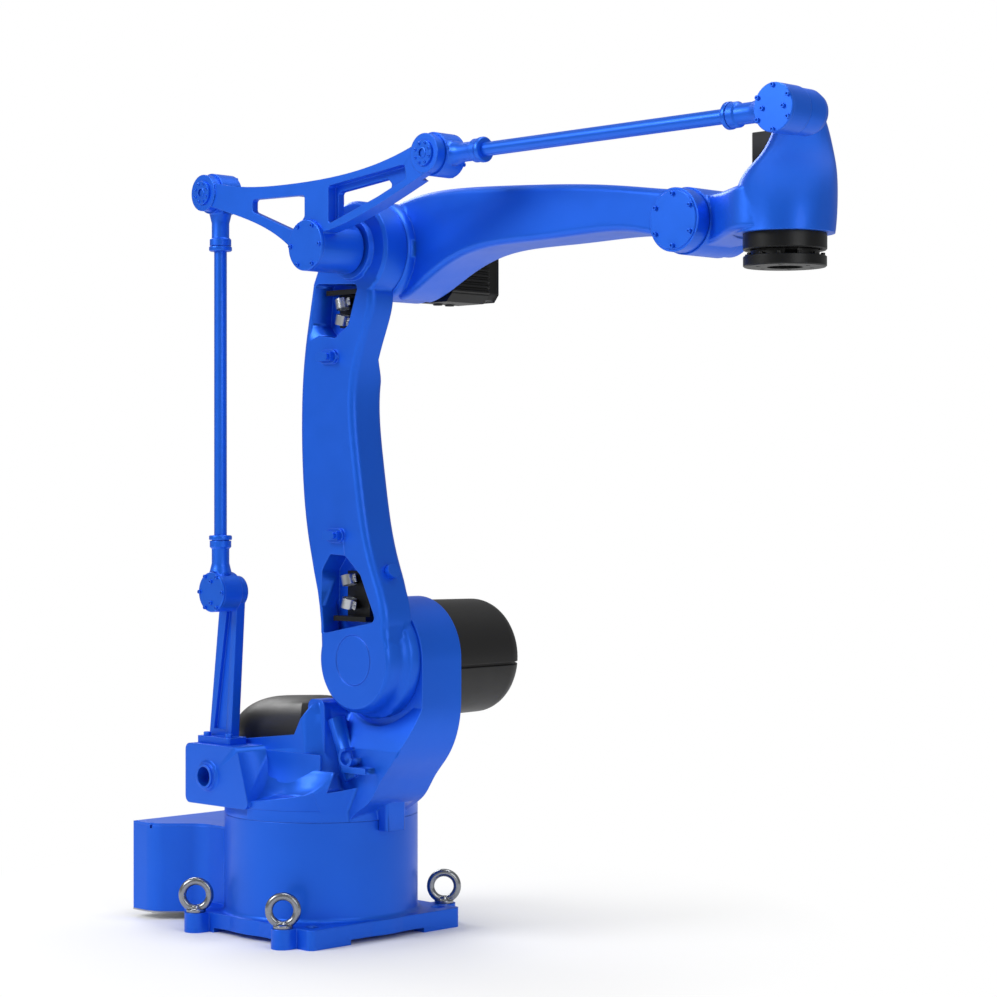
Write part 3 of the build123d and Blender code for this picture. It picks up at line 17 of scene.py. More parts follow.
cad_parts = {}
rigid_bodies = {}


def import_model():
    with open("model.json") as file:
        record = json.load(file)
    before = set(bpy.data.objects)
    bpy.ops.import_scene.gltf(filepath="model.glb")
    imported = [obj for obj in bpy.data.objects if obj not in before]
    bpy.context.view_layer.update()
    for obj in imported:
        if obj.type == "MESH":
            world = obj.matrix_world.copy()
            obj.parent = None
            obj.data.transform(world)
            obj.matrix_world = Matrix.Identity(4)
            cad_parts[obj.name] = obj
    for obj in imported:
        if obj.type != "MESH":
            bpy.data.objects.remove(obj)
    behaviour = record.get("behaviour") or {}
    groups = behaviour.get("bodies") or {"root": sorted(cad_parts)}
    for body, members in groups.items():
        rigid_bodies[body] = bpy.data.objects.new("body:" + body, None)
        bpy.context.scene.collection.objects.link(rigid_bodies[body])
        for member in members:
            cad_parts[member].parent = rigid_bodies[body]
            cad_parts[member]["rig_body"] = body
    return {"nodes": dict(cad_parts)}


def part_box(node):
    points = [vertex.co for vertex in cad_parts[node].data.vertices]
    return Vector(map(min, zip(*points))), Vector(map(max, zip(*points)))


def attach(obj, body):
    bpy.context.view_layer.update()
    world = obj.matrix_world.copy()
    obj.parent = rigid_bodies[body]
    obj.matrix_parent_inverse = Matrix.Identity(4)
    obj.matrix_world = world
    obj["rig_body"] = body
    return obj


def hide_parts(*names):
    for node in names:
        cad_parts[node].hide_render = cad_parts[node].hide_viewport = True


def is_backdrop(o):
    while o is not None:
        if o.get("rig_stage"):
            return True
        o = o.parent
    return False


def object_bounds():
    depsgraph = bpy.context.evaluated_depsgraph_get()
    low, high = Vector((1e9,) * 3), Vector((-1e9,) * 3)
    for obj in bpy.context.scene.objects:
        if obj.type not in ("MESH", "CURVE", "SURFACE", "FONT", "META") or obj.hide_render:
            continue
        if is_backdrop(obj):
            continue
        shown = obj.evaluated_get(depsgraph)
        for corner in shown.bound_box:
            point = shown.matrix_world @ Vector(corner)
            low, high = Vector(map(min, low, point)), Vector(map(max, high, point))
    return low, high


log = logging.getLogger("palletizer")

Tree = bpy.types.NodeTree
Socket = bpy.types.NodeSocket
Outline = list[tuple[float, float]]
Marks = tuple[tuple[float, float], ...]

MM = 0.001
Y_AXIS = Vector((0.0, 1.0, 0.0))
Z_AXIS = Vector((0.0, 0.0, 1.0))

# Points of a mesh that are closer than this, in metres, are one
WELD = 2e-6
# Faces that turn less than this, in degrees, are one flat face
FLAT = 0.08
# Edges that turn more than this, in degrees, stay sharp
SHARP = 34.0
# Points farther out than this share of a screw's widest radius belong to its head
HEAD_EDGE = 0.9
# A screw's head is no higher than this share of its radius
HEAD_LIMIT = 1.4
# The sockets of a colour mix node, by number
MIX_FACTOR, MIX_A, MIX_B, MIX_RESULT = 0, 6, 7, 2


# Colours and shader nodes


def linear(code: str) -> tuple[float, float, float, float]:
    """Turns an sRGB hex colour into linear light.

    Args:
        code: Six hex digits, two each for red, green and blue.

    Returns:
        Red, green, blue and alpha, each from 0 to 1.
    """
    channels = [int(code[place:place + 2], 16) / 255 for place in (0, 2, 4)]
    light = [c / 12.92 if c <= 0.04045 else ((c + 0.055) / 1.055) ** 2.4 for c in channels]
    return (*light, 1.0)


def add_node(
    tree: Tree,
    kind: str,
    settings: dict | None = None,
    links: dict | None = None,
) -> bpy.types.Node:
    """Adds one shader node with its settings and links.

    Args:
        tree: The node tree that gets the node.
        kind: The node's type, such as ShaderNodeBump.
        settings: Properties, or input values by name or number.
        links: Sockets that feed the node's inputs, by name or number.

    Returns:
        The new node.
    """
    node = tree.nodes.new(kind)
    for key, value in (settings or {}).items():
        if isinstance(key, str) and key in node.bl_rna.properties:
            setattr(node, key, value)
        else:
            node.inputs[key].default_value = value
    for key, socket in (links or {}).items():
        tree.links.new(socket, node.inputs[key])
    return node


class Relief(Enum):
    """The fine relief that a process leaves on a surface."""

    ORANGE_PEEL = "orange peel"
    GRAIN = "grain"
    TURNING = "turning"
    BLASTED = "blasted"


@dataclass(frozen=True)
class Surface:
    """One real finish: a material and the process that made its surface.

    The broad noise keeps large faces from looking flat, the edge mask paints a
    lighter line along edges, a painted highlight together with the coat that
    spraying and handling thin there, and the relief catches the lamps as the real
    process does. All sizes are in millimetres.
    """

    name: str
    colour: str
    shade: str
    # The lighter edge colour: a painted highlight along edges, together with the thinner coat where edges
    # wear
    edge: str
    roughness: float
    spread: float = 0.08
    metallic: float = 0.0
    coat: float = 0.0
    relief: Relief = Relief.ORANGE_PEEL
    relief_size: float = 2.5
    relief_depth: float = 0.02
    wave_size: float = 70.0
    wave_depth: float = 0.0
    edge_radius: float = 1.6
    edge_amount: float = 0.5
    broad_size: float = 260.0
    patch_size: float = 45.0
    coat_roughness: float = 0.12

    def noise(self, tree: Tree, place: Socket, size: float, detail: float) -> Socket:
        """Noise whose features are about size millimetres across."""
        settings = {"Scale": 1 / (size * MM), "Detail": detail, "Roughness": 0.55}
        return add_node(tree, "ShaderNodeTexNoise", settings, {"Vector": place}).outputs["Fac"]

    def bump(self, tree: Tree, height: Socket, depth: float, normal: Socket) -> Socket:
        """Bends a normal by a height pattern.

        Args:
            tree: The material's nodes.
            height: The pattern, from 0 to 1.
            depth: How deep the pattern is, in millimetres.
            normal: The normal before.

        Returns:
            The normal after.
        """
        settings = {"Strength": 1.0, "Distance": depth * MM}
        links = {"Height": height, "Normal": normal}
        return add_node(tree, "ShaderNodeBump", settings, links).outputs["Normal"]

    def pattern(self, tree: Tree, place: Socket) -> Socket:
        """The height pattern of the process.

        Args:
            tree: The material's nodes.
            place: The point that is shaded.

        Returns:
            The height at that point.
        """
        scale = 1 / (self.relief_size * MM)
        if self.relief is Relief.TURNING:
            settings = {"wave_type": "RINGS", "rings_direction": "Z", "Scale": scale, "Distortion": 0.6}
            return add_node(tree, "ShaderNodeTexWave", settings, {"Vector": place}).outputs["Fac"]
        if self.relief is Relief.GRAIN:
            settings = {"feature": "SMOOTH_F1", "Scale": scale, "Smoothness": 0.8}
            return add_node(tree, "ShaderNodeTexVoronoi", settings, {"Vector": place}).outputs["Distance"]
        detail = 3.0 if self.relief is Relief.BLASTED else 1.0
        return self.noise(tree, place, self.relief_size, detail)

    def normal(self, tree: Tree, place: Socket, rounded: Socket) -> Socket:
        """The shading normal: rounded edges, then casting waves, then the fine relief.

        Args:
            tree: The material's nodes.
            place: The point that is shaded.
            rounded: The normal with rounded edges.

        Returns:
            The bent normal.
        """
        waves = self.noise(tree, place, self.wave_size, 1.0)
        bent = self.bump(tree, waves, self.wave_depth, rounded)
        return self.bump(tree, self.pattern(tree, place), self.relief_depth, bent)

    def edge_highlight_and_wear_mask(self, tree: Tree, rounded: Socket) -> Socket:
        """Where the rounded normal leaves the true one: a thin line along each edge.

        Args:
            tree: The material's nodes.
            rounded: The normal with rounded edges.

        Returns:
            The share of the lighter edge colour, a painted highlight together with wear of the coat.
        """
        begins, full = 0.995, 0.80
        true = add_node(tree, "ShaderNodeNewGeometry").outputs["Normal"]
        dot = {"operation": "DOT_PRODUCT"}
        same = add_node(tree, "ShaderNodeVectorMath", dot, {0: rounded, 1: true}).outputs["Value"]
        window = {"From Min": begins, "From Max": full, "To Min": 0.0, "To Max": self.edge_amount}
        return add_node(tree, "ShaderNodeMapRange", window, {"Value": same}).outputs["Result"]

    def build(self, centre: Vector) -> bpy.types.Material:
        """Makes the material.

        Args:
            centre: The point that the pattern is centred on, in metres.

        Returns:
            The finished node material.
        """
        material = bpy.data.materials.new(self.name)
        material.use_nodes = True
        tree = material.node_tree
        tree.nodes.clear()
        object_space = add_node(tree, "ShaderNodeTexCoord").outputs["Object"]
        shift = {"Location": tuple(-centre)}
        place = add_node(tree, "ShaderNodeMapping", shift, {"Vector": object_space}).outputs["Vector"]
        bevel = {"samples": 6, "Radius": self.edge_radius * MM}
        rounded = add_node(tree, "ShaderNodeBevel", bevel).outputs["Normal"]
        broad = self.noise(tree, place, self.broad_size, 2.0)
        shades = {"data_type": "RGBA", MIX_A: linear(self.shade), MIX_B: linear(self.colour)}
        body = add_node(tree, "ShaderNodeMix", shades, {MIX_FACTOR: broad}).outputs[MIX_RESULT]
        # Painted highlight: the lighter colour along every edge stands in for light caught by the rounded
        # edge, together with wear of the coat there
        edges = {"data_type": "RGBA", MIX_B: linear(self.edge)}
        highlight_and_wear = {MIX_FACTOR: self.edge_highlight_and_wear_mask(tree, rounded), MIX_A: body}
        coloured = add_node(tree, "ShaderNodeMix", edges, highlight_and_wear).outputs[MIX_RESULT]
        patch = self.noise(tree, place, self.patch_size, 4.0)
        gloss = {"To Min": self.roughness - self.spread, "To Max": self.roughness + self.spread}
        rough = add_node(tree, "ShaderNodeMapRange", gloss, {"Value": patch}).outputs["Result"]
        coat = {"Coat Weight": self.coat, "Coat Roughness": self.coat_roughness}
        settings = {"Metallic": self.metallic, **coat}
        normal = self.normal(tree, place, rounded)
        links = {"Base Color": coloured, "Roughness": rough, "Normal": normal}
        shader = add_node(tree, "ShaderNodeBsdfPrincipled", settings, links).outputs["BSDF"]
        add_node(tree, "ShaderNodeOutputMaterial", None, {"Surface": shader})
        return material


class Finish(Enum):
    """Every real finish on the robot."""

    # Sprayed over rough iron: soft gradients, faint waves of the sand mould, thin light edges
    CAST_IRON_ENAMEL = Surface(
        "blue_enamel_sprayed_on_cast_iron", "0E68EC", "0B5BD6", "4C86FF", 0.44, metallic=0.55, coat=0.06,
        relief_size=2.2, relief_depth=0.02, wave_size=60.0, wave_depth=0.4,
        edge_radius=3.2, edge_amount=0.35,
    )
    # Sprayed over chill-cast alloy: the same blue with a calmer face and crisper gradients
    ALLOY_ENAMEL = Surface(
        "blue_enamel_sprayed_on_cast_aluminium", "106AF0", "0D5FDC", "5089FF", 0.42, metallic=0.55, coat=0.08,
        relief_size=2.0, relief_depth=0.016, wave_size=90.0, wave_depth=0.25,
        edge_radius=2.6, edge_amount=0.35,
    )
    # Sprayed over drawn and turned steel: the smoothest blue, with long clean reflections
    STEEL_ENAMEL = Surface(
        "blue_enamel_sprayed_on_machined_steel", "106AEE", "0D5FDC", "5089FF", 0.38, metallic=0.55, coat=0.1,
        relief_size=1.6, relief_depth=0.01, wave_size=120.0, edge_radius=0.9, edge_amount=0.35,
    )
    # Textured moulded plastic: a soft charcoal sheen that never mirrors
    MOULDED_PLASTIC = Surface(
        "black_abs_injection_moulded", "0A0A0B", "080808", "202123", 0.46,
        relief=Relief.GRAIN, relief_size=1.1, relief_depth=0.02, edge_radius=2.4, edge_amount=0.4,
    )
    # Anodised motor housings: deep black with a narrow metal highlight on each rib
    ANODISED = Surface(
        "black_anodised_cast_aluminium", "101112", "0C0D0E", "2C2D30", 0.4, metallic=0.35,
        relief=Relief.BLASTED, relief_size=0.8, relief_depth=0.02, edge_radius=1.0, edge_amount=0.4,
    )
    # Turned and blackened steel: fine rings that stretch the highlight round the flange
    BLACK_OXIDE = Surface(
        "black_oxide_on_turned_steel", "141516", "0F1011", "35373A", 0.38, metallic=0.45,
        relief=Relief.TURNING, relief_size=1.4, relief_depth=0.01, edge_radius=0.8, edge_amount=0.45,
    )
    # Forged, tumbled and plated eyebolts: bright, with soft mirror patches
    FORGED_PLATED = Surface(
        "nickel_plated_forged_steel", "9DA0A4", "8B8E93", "D4D6D8", 0.27, spread=0.06, metallic=1.0,
        relief=Relief.BLASTED, relief_size=4.0, relief_depth=0.012, edge_radius=0.6, edge_amount=0.4,
    )
    # Rolled and zinc-plated band: a cool grey glint inside the dark windows
    ZINC_BAND = Surface(
        "zinc_plated_rolled_steel", "C4C7CB", "B0B4B9", "E6E8EA", 0.3, metallic=1.0,
        relief=Relief.BLASTED, relief_size=1.5, relief_depth=0.01, edge_radius=0.5, edge_amount=0.4,
    )
    # Powder-coated sheet: an even grey with a fine matt speckle
    POWDER_COAT = Surface(
        "grey_powder_coat_on_sheet_steel", "B4B7BB", "A9ACB1", "D0D2D5", 0.5,
        relief=Relief.BLASTED, relief_size=0.9, relief_depth=0.035, edge_radius=0.8, edge_amount=0.4,
    )
    # Ground and hardened steel seen in joints: fine bright rings
    GROUND_STEEL = Surface(
        "ground_bearing_steel", "B9BCC0", "A9ACB1", "DDDFE2", 0.24, metallic=1.0,
        relief=Relief.TURNING, relief_size=0.9, relief_depth=0.004, edge_radius=0.5, edge_amount=0.4,
    )


class Palette:
    """Builds each finish once and hands out its material."""

    def __init__(self, centre: Vector) -> None:
        """Takes the point that every pattern is centred on."""
        self.centre = centre
        self.made: dict[Finish, bpy.types.Material] = {}

    def get(self, finish: Finish) -> bpy.types.Material:
        """Hands out the material of one finish.

        Args:
            finish: The finish.

        Returns:
            Its material, built the first time it is asked for.
        """
        if finish not in self.made:
            self.made[finish] = finish.value.build(self.centre)
        return self.made[finish]


# Meshes under construction


def seat(point: Vector, out: Vector) -> Matrix:
    """A place on a face, whose own Z points out of the face.

    Args:
        point: The place.
        out: The direction out of the face.

    Returns:
        The place as a matrix.
    """
    return Matrix.Translation(point) @ Z_AXIS.rotation_difference(out).to_matrix().to_4x4()


def arc(start: float, end: float, steps: int) -> list[float]:
    """Evenly spread angles, given in degrees and returned in radians."""
    return [math.radians(start + (end - start) * step / steps) for step in range(steps + 1)]


def ring_of(place: Matrix, radius: float, count: int, start: float = 0.0) -> list[Matrix]:
    """Spreads places evenly on a circle.

    Args:
        place: The middle of the circle, which lies in its own plane.
        radius: The circle's radius.
        count: How many places there are.
        start: The angle of the first one, in degrees.

    Returns:
        The places, which all face the same way as the middle.
    """
    turns = [math.radians(start + 360 * step / count) for step in range(count)]
    spots = [Vector((radius * math.cos(a), radius * math.sin(a), 0)) for a in turns]
    return [place @ Matrix.Translation(spot) for spot in spots]


class Form:
    """A mesh under construction, made with the bmesh operators."""

    def __init__(self) -> None:
        """Starts an empty mesh."""
        self.mesh = bmesh.new()

    def lathe(self, profile: Outline, place: Matrix, steps: int = 48) -> list[bmesh.types.BMVert]:
        """Turns a profile about the place's own Z.

        Args:
            profile: Radius and height pairs, from the foot up.
            place: Where the turned shape stands.
            steps: Facets round the shape.

        Returns:
            The new vertices.
        """
        start = [self.mesh.verts.new(place @ Vector((radius, 0, height))) for radius, height in profile]
        edges = [self.mesh.edges.new(pair) for pair in zip(start, start[1:])]
        known = set(self.mesh.verts) - set(start)
        axis = place.to_3x3() @ Z_AXIS
        bmesh.ops.spin(
            self.mesh, geom=start + edges, cent=place.translation, axis=axis,
            angle=math.tau, steps=steps, use_merge=True, use_duplicate=False,
        )
        new = [vert for vert in self.mesh.verts if vert not in known]
        bmesh.ops.remove_doubles(self.mesh, verts=new, dist=WELD)
        return [vert for vert in self.mesh.verts if vert not in known]

    def shell(self, loop: Outline, place: Matrix, start: float, turn: float, steps: int) -> None:
        """Carries a closed section part of the way round the place's own Z.

        Args:
            loop: Radius and height pairs round the section.
            place: Where the shell stands.
            start: The angle it starts from, in degrees.
            turn: How far it goes round, in degrees.
            steps: Facets along the way.
        """
        own = place @ Matrix.Rotation(math.radians(start), 4, "Z")
        corners = [self.mesh.verts.new(own @ Vector((radius, 0, height))) for radius, height in loop]
        section = [self.mesh.faces.new(corners)]
        bmesh.ops.spin(
            self.mesh, geom=corners + section[0].edges[:] + section, cent=place.translation,
            axis=place.to_3x3() @ Z_AXIS, angle=math.radians(turn), steps=steps, use_duplicate=False,
        )

    def round_edges(self, edges: list[bmesh.types.BMEdge], width: float, segments: int = 3) -> None:
        """Turns sharp edges into arcs.

        Args:
            edges: The edges.
            width: How far each arc reaches into its two faces.
            segments: Facets across the arc.
        """
        bmesh.ops.bevel(
            self.mesh, geom=edges, offset=width, offset_type="OFFSET", affect="EDGES",
            segments=segments, profile=0.5, clamp_overlap=True, material=-1,
        )

    def prism(self, outline: Outline, place: Matrix, height: float, bevel: float = 0.0) -> None:
        """Raises an outline along the place's own Z.

        Args:
            outline: Corners in the place's own plane.
            place: Where the outline lies.
            height: How far it rises.
            bevel: Width of its rounded edges.
        """
        corners = [self.mesh.verts.new(place @ Vector((x, y, 0))) for x, y in outline]
        foot = [self.mesh.faces.new(corners)]
        raised = bmesh.ops.extrude_face_region(self.mesh, geom=foot)["geom"]
        tops = [item for item in raised if isinstance(item, bmesh.types.BMVert)]
        bmesh.ops.translate(self.mesh, vec=place.to_3x3() @ Vector((0, 0, height)), verts=tops)
        bmesh.ops.reverse_faces(self.mesh, faces=foot)
        if bevel:
            self.round_edges(list({edge for vert in tops + corners for edge in vert.link_edges}), bevel)

    def slab(self, outline: Outline, back: float, depth: float, bevel: float = 0.0) -> None:
        """Brings an outline in X and Z forward to the photographed side.

        Args:
            outline: Corners as X and Z pairs.
            back: The Y of the slab's back.
            depth: How far it comes forward.
            bevel: Width of its rounded edges.
        """
        place = seat(Y_AXIS * back, -Y_AXIS)
        inverse = place.inverted()
        flat = [inverse @ Vector((x, back, z)) for x, z in outline]
        self.prism([(corner.x, corner.y) for corner in flat], place, depth, bevel)

    def eye(self, centre: Vector, across: Vector, radius: float, wire: float) -> None:
        """Adds an upright ring of round wire.

        Args:
            centre: The middle of the ring.
            across: The level direction in the ring's plane.
            radius: From the ring's middle to the middle of the wire.
            wire: The wire's radius.
        """
        top = seat(centre + Z_AXIS * radius, -across)
        made = bmesh.ops.create_circle(self.mesh, cap_ends=False, segments=18, radius=wire, matrix=top)
        circle = made["verts"]
        edges = list({edge for vert in circle for edge in vert.link_edges})
        bmesh.ops.spin(
            self.mesh, geom=circle + edges, cent=centre, axis=Z_AXIS.cross(across),
            angle=math.tau, steps=44, use_merge=True, use_duplicate=False,
        )

    def join(self, mesh: bpy.types.Mesh) -> None:
        """Adds a whole mesh, such as a copy of a CAD node."""
        self.mesh.from_mesh(mesh)
        bmesh.ops.remove_doubles(self.mesh, verts=self.mesh.verts, dist=WELD)

    def make(self, name: str, material: bpy.types.Material) -> bpy.types.Object:
        """Turns the mesh into an object with smooth faces and sharp corners.

        Args:
            name: The object's name.
            material: Its material.

        Returns:
            The object, at the origin with its place in its mesh.
        """
        bmesh.ops.recalc_face_normals(self.mesh, faces=self.mesh.faces)
        data = bpy.data.meshes.new(name)
        self.mesh.to_mesh(data)
        self.mesh.free()
        data.shade_smooth()
        data.set_sharp_from_angle(angle=math.radians(SHARP))
        data.materials.append(material)
        piece = bpy.data.objects.new(name, data)
        bpy.context.scene.collection.objects.link(piece)
        return piece


def islands(node: bpy.types.Object) -> list[list[Vector]]:
    """Takes a CAD node apart into its loose parts.

    Args:
        node: The CAD node, which stays as it is.

    Returns:
        The points of each part.
    """
    mesh = bmesh.new()
    mesh.from_mesh(node.data)
    bmesh.ops.remove_doubles(mesh, verts=mesh.verts, dist=WELD)
    left = set(mesh.verts)
    parts = []
    while left:
        reach = [left.pop()]
        part = []
        while reach:
            vert = reach.pop()
            part.append(vert.co.copy())
            near = {edge.other_vert(vert) for edge in vert.link_edges} & left
            left -= near
            reach.extend(near)
        parts.append(part)
    mesh.free()
    return parts


@dataclass(frozen=True)
class SocketScrew:
    """A socket head cap screw, of which only the head shows.

    The socket and the chamfer are shares of the head's radius, and the depth is
    a share of its height.
    """

    head_radius: float
    head_height: float
    socket: float = 0.52
    depth: float = 0.6
    taper: float = 0.94
    chamfer_width: float = 0.12
    chamfer_height: float = 0.14

    def add_to(self, form: Form, top: Matrix) -> None:
        """Adds the head with its hexagon socket.

        Args:
            form: The mesh that gets the screw.
            top: The middle of the head's top, whose Z points out of the screw.
        """
        r, h = self.head_radius, self.head_height
        hole, low = r * self.socket, -h * self.depth
        profile = [
            (0, -h), (r, -h), (r, -self.chamfer_height * r), (r * (1 - self.chamfer_width), 0),
            (hole, 0), (hole * self.taper, low), (0, low),
        ]
        inverse = top.inverted()
        inward = math.cos(math.radians(30))
        # The socket is turned with twelve corners, and every second one is pulled in to a hexagon's side
        for vert in form.lathe(profile, top, steps=12):
            own = inverse @ vert.co
            angle = math.degrees(math.atan2(own.y, own.x)) % 60
            if abs(angle - 30) < 1 and own.xy.length < hole * 1.01 and own.z > low - WELD:
                own.x *= inward
                own.y *= inward
                vert.co = top @ own


# Sub-assemblies


@dataclass
class Robot:
    """What every sub-assembly needs: the nodes of the CAD frame and the finishes."""

    nodes: dict[str, bpy.types.Object]
    palette: Palette

    def body_of(self, node: str) -> str:
        """The CAD body that a node rides on."""
        return self.nodes[node]["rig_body"]


@dataclass
class SubAssembly:
    """A group of pieces that is built and dressed together."""

    robot: Robot

    def dress(
        self, form: Form, name: str, finish: Finish, body: str, slot: str, stands_for: tuple[str, ...] = (),
    ) -> None:
        """Finishes one piece: material, smoothing, body and the CAD nodes it stands for.

        Args:
            form: The mesh of the piece.
            name: The name of the piece.
            finish: Its finish.
            body: The CAD body that it rides on.
            slot: The record's material slot; not used.
            stands_for: The CAD nodes that it replaces, if any.
        """
        piece = form.make(name, self.robot.palette.get(finish))
        weigh = piece.modifiers.new("even shading", "WEIGHTED_NORMAL")
        weigh.keep_sharp = True
        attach(piece, body)
        if stands_for:
            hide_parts(*stands_for)

    def recast(self, node: str, finish: Finish, slot: str) -> None:
        """Merges and smooths a copy of a CAD node, and lets it stand for the node.

        Args:
            node: The CAD node's name.
            finish: The finish of the piece.
            slot: The record's material slot.
        """
        form = Form()
        form.join(self.robot.nodes[node].data)
        mesh = form.mesh
        bmesh.ops.dissolve_limit(mesh, angle_limit=math.radians(FLAT), verts=mesh.verts, edges=mesh.edges)
        self.dress(form, node + "_surface", finish, self.robot.body_of(node), slot, (node,))

    def screws(self, node: str, axis: Vector, finish: Finish, slot: str, sunk: float = 0.0) -> None:
        """Gives each screw of a CAD node a real head with a hexagon socket.

        Args:
            node: The CAD node that holds the screws.
            axis: The direction that all of them lie along.
            finish: The finish of the screws.
            slot: The record's material slot.
            sunk: How much of each head's height is below the face.
        """
        form = Form()
        for part in islands(self.robot.nodes[node]):
            low = Vector([min(v[i] for v in part) for i in range(3)])
            high = Vector([max(v[i] for v in part) for i in range(3)])
            middle = (low + high) / 2
            reach = (high - low).dot(axis) / 2
            places = [(v - middle).dot(axis) for v in part]
            widths = [(v - middle - axis * place).length for v, place in zip(part, places)]
            widest = max(widths)
            head = [place for place, width in zip(places, widths) if width > HEAD_EDGE * widest]
            side = 1 if sum(head) > 0 else -1
            height = max(head) - min(head)
            if height < WELD:
                height = widest
            top = seat(middle + axis * (reach - sunk * height) * side, axis * side)
            SocketScrew(widest, min(height, HEAD_LIMIT * widest)).add_to(form, top)
        self.dress(form, node + "_heads", finish, self.robot.body_of(node), slot, (node,))


@dataclass
class BaseUnit(SubAssembly):
    """The pedestal, its terminal box and the four lifting eyes."""

    eye_x: float = 138 * MM
    eye_y: float = 220 * MM
    plate_top: float = 40 * MM
    eye_centre: float = 35 * MM
    eye_ring: float = 28 * MM
    eye_wire: float = 8 * MM
    neck_radius: float = 10 * MM
    collar_radius: float = 20 * MM
    box_half: float = 196 * MM
    box_waist: float = 125 * MM
    box_cheek_x: float = -316 * MM
    box_waist_x: float = -245 * MM
    box_front_x: float = -205 * MM
    floor_inset: float = 2 * MM
    floor_z: float = 14.5 * MM
    floor_sheet: float = 3.4 * MM
    floor_round: float = 0.6 * MM

    def eyebolt(self, form: Form, x: float, y: float) -> None:
        """Adds one forged eyebolt: a collar, a drawn neck and an eye.

        Args:
            form: The mesh that gets the eyebolt.
            x: Its place along X.
            y: Its place along Y.
        """
        r, neck = self.collar_radius, self.neck_radius
        collar = [
            (0, 0), (r * 0.96, 0), (r, 1 * MM), (r, 5 * MM), (r * 0.94, 6.5 * MM), (r * 0.72, 7.6 * MM),
            (neck * 1.2, 9 * MM), (neck, 11.5 * MM), (neck * 0.8, 14 * MM), (0, 15 * MM),
        ]
        foot = Vector((x, y, self.plate_top))
        form.lathe(collar, Matrix.Translation(foot), steps=40)
        across = Vector((math.sqrt(0.5), math.sqrt(0.5), 0))
        form.eye(foot + Z_AXIS * self.eye_centre, across, self.eye_ring, self.eye_wire)

    def box_floor(self) -> None:
        """The light sheet that closes the terminal box from below."""
        panel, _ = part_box("rear_panel")
        near = [
            (panel.x + self.floor_inset, -self.box_half), (self.box_cheek_x, -self.box_half),
            (self.box_waist_x, -self.box_waist), (self.box_front_x, -self.box_waist),
        ]
        far = [(x, -y) for x, y in reversed(near)]
        form = Form()
        form.prism(near + far, Matrix.Translation(Z_AXIS * self.floor_z), self.floor_sheet, self.floor_round)
        self.dress(form, "terminal_box_floor", Finish.POWDER_COAT, "base", "grey_steel")

    def build(self) -> None:
        """Builds and dresses the base."""
        self.box_floor()
        self.recast("base_casting", Finish.CAST_IRON_ENAMEL, "blue_iron")
        self.recast("terminal_box_lid", Finish.STEEL_ENAMEL, "blue_steel")
        self.recast("rear_panel", Finish.POWDER_COAT, "grey_steel")
        self.recast("rear_connectors", Finish.ANODISED, "dark_alloy")
        self.screws("lid_screws", Z_AXIS, Finish.STEEL_ENAMEL, "blue_steel", sunk=0.85)
        form = Form()
        for x in (-self.eye_x, self.eye_x):
            for y in (-self.eye_y, self.eye_y):
                self.eyebolt(form, x, y)
        self.dress(form, "lifting_eyes", Finish.FORGED_PLATED, "base", "bright_steel", ("lifting_eyebolts",))


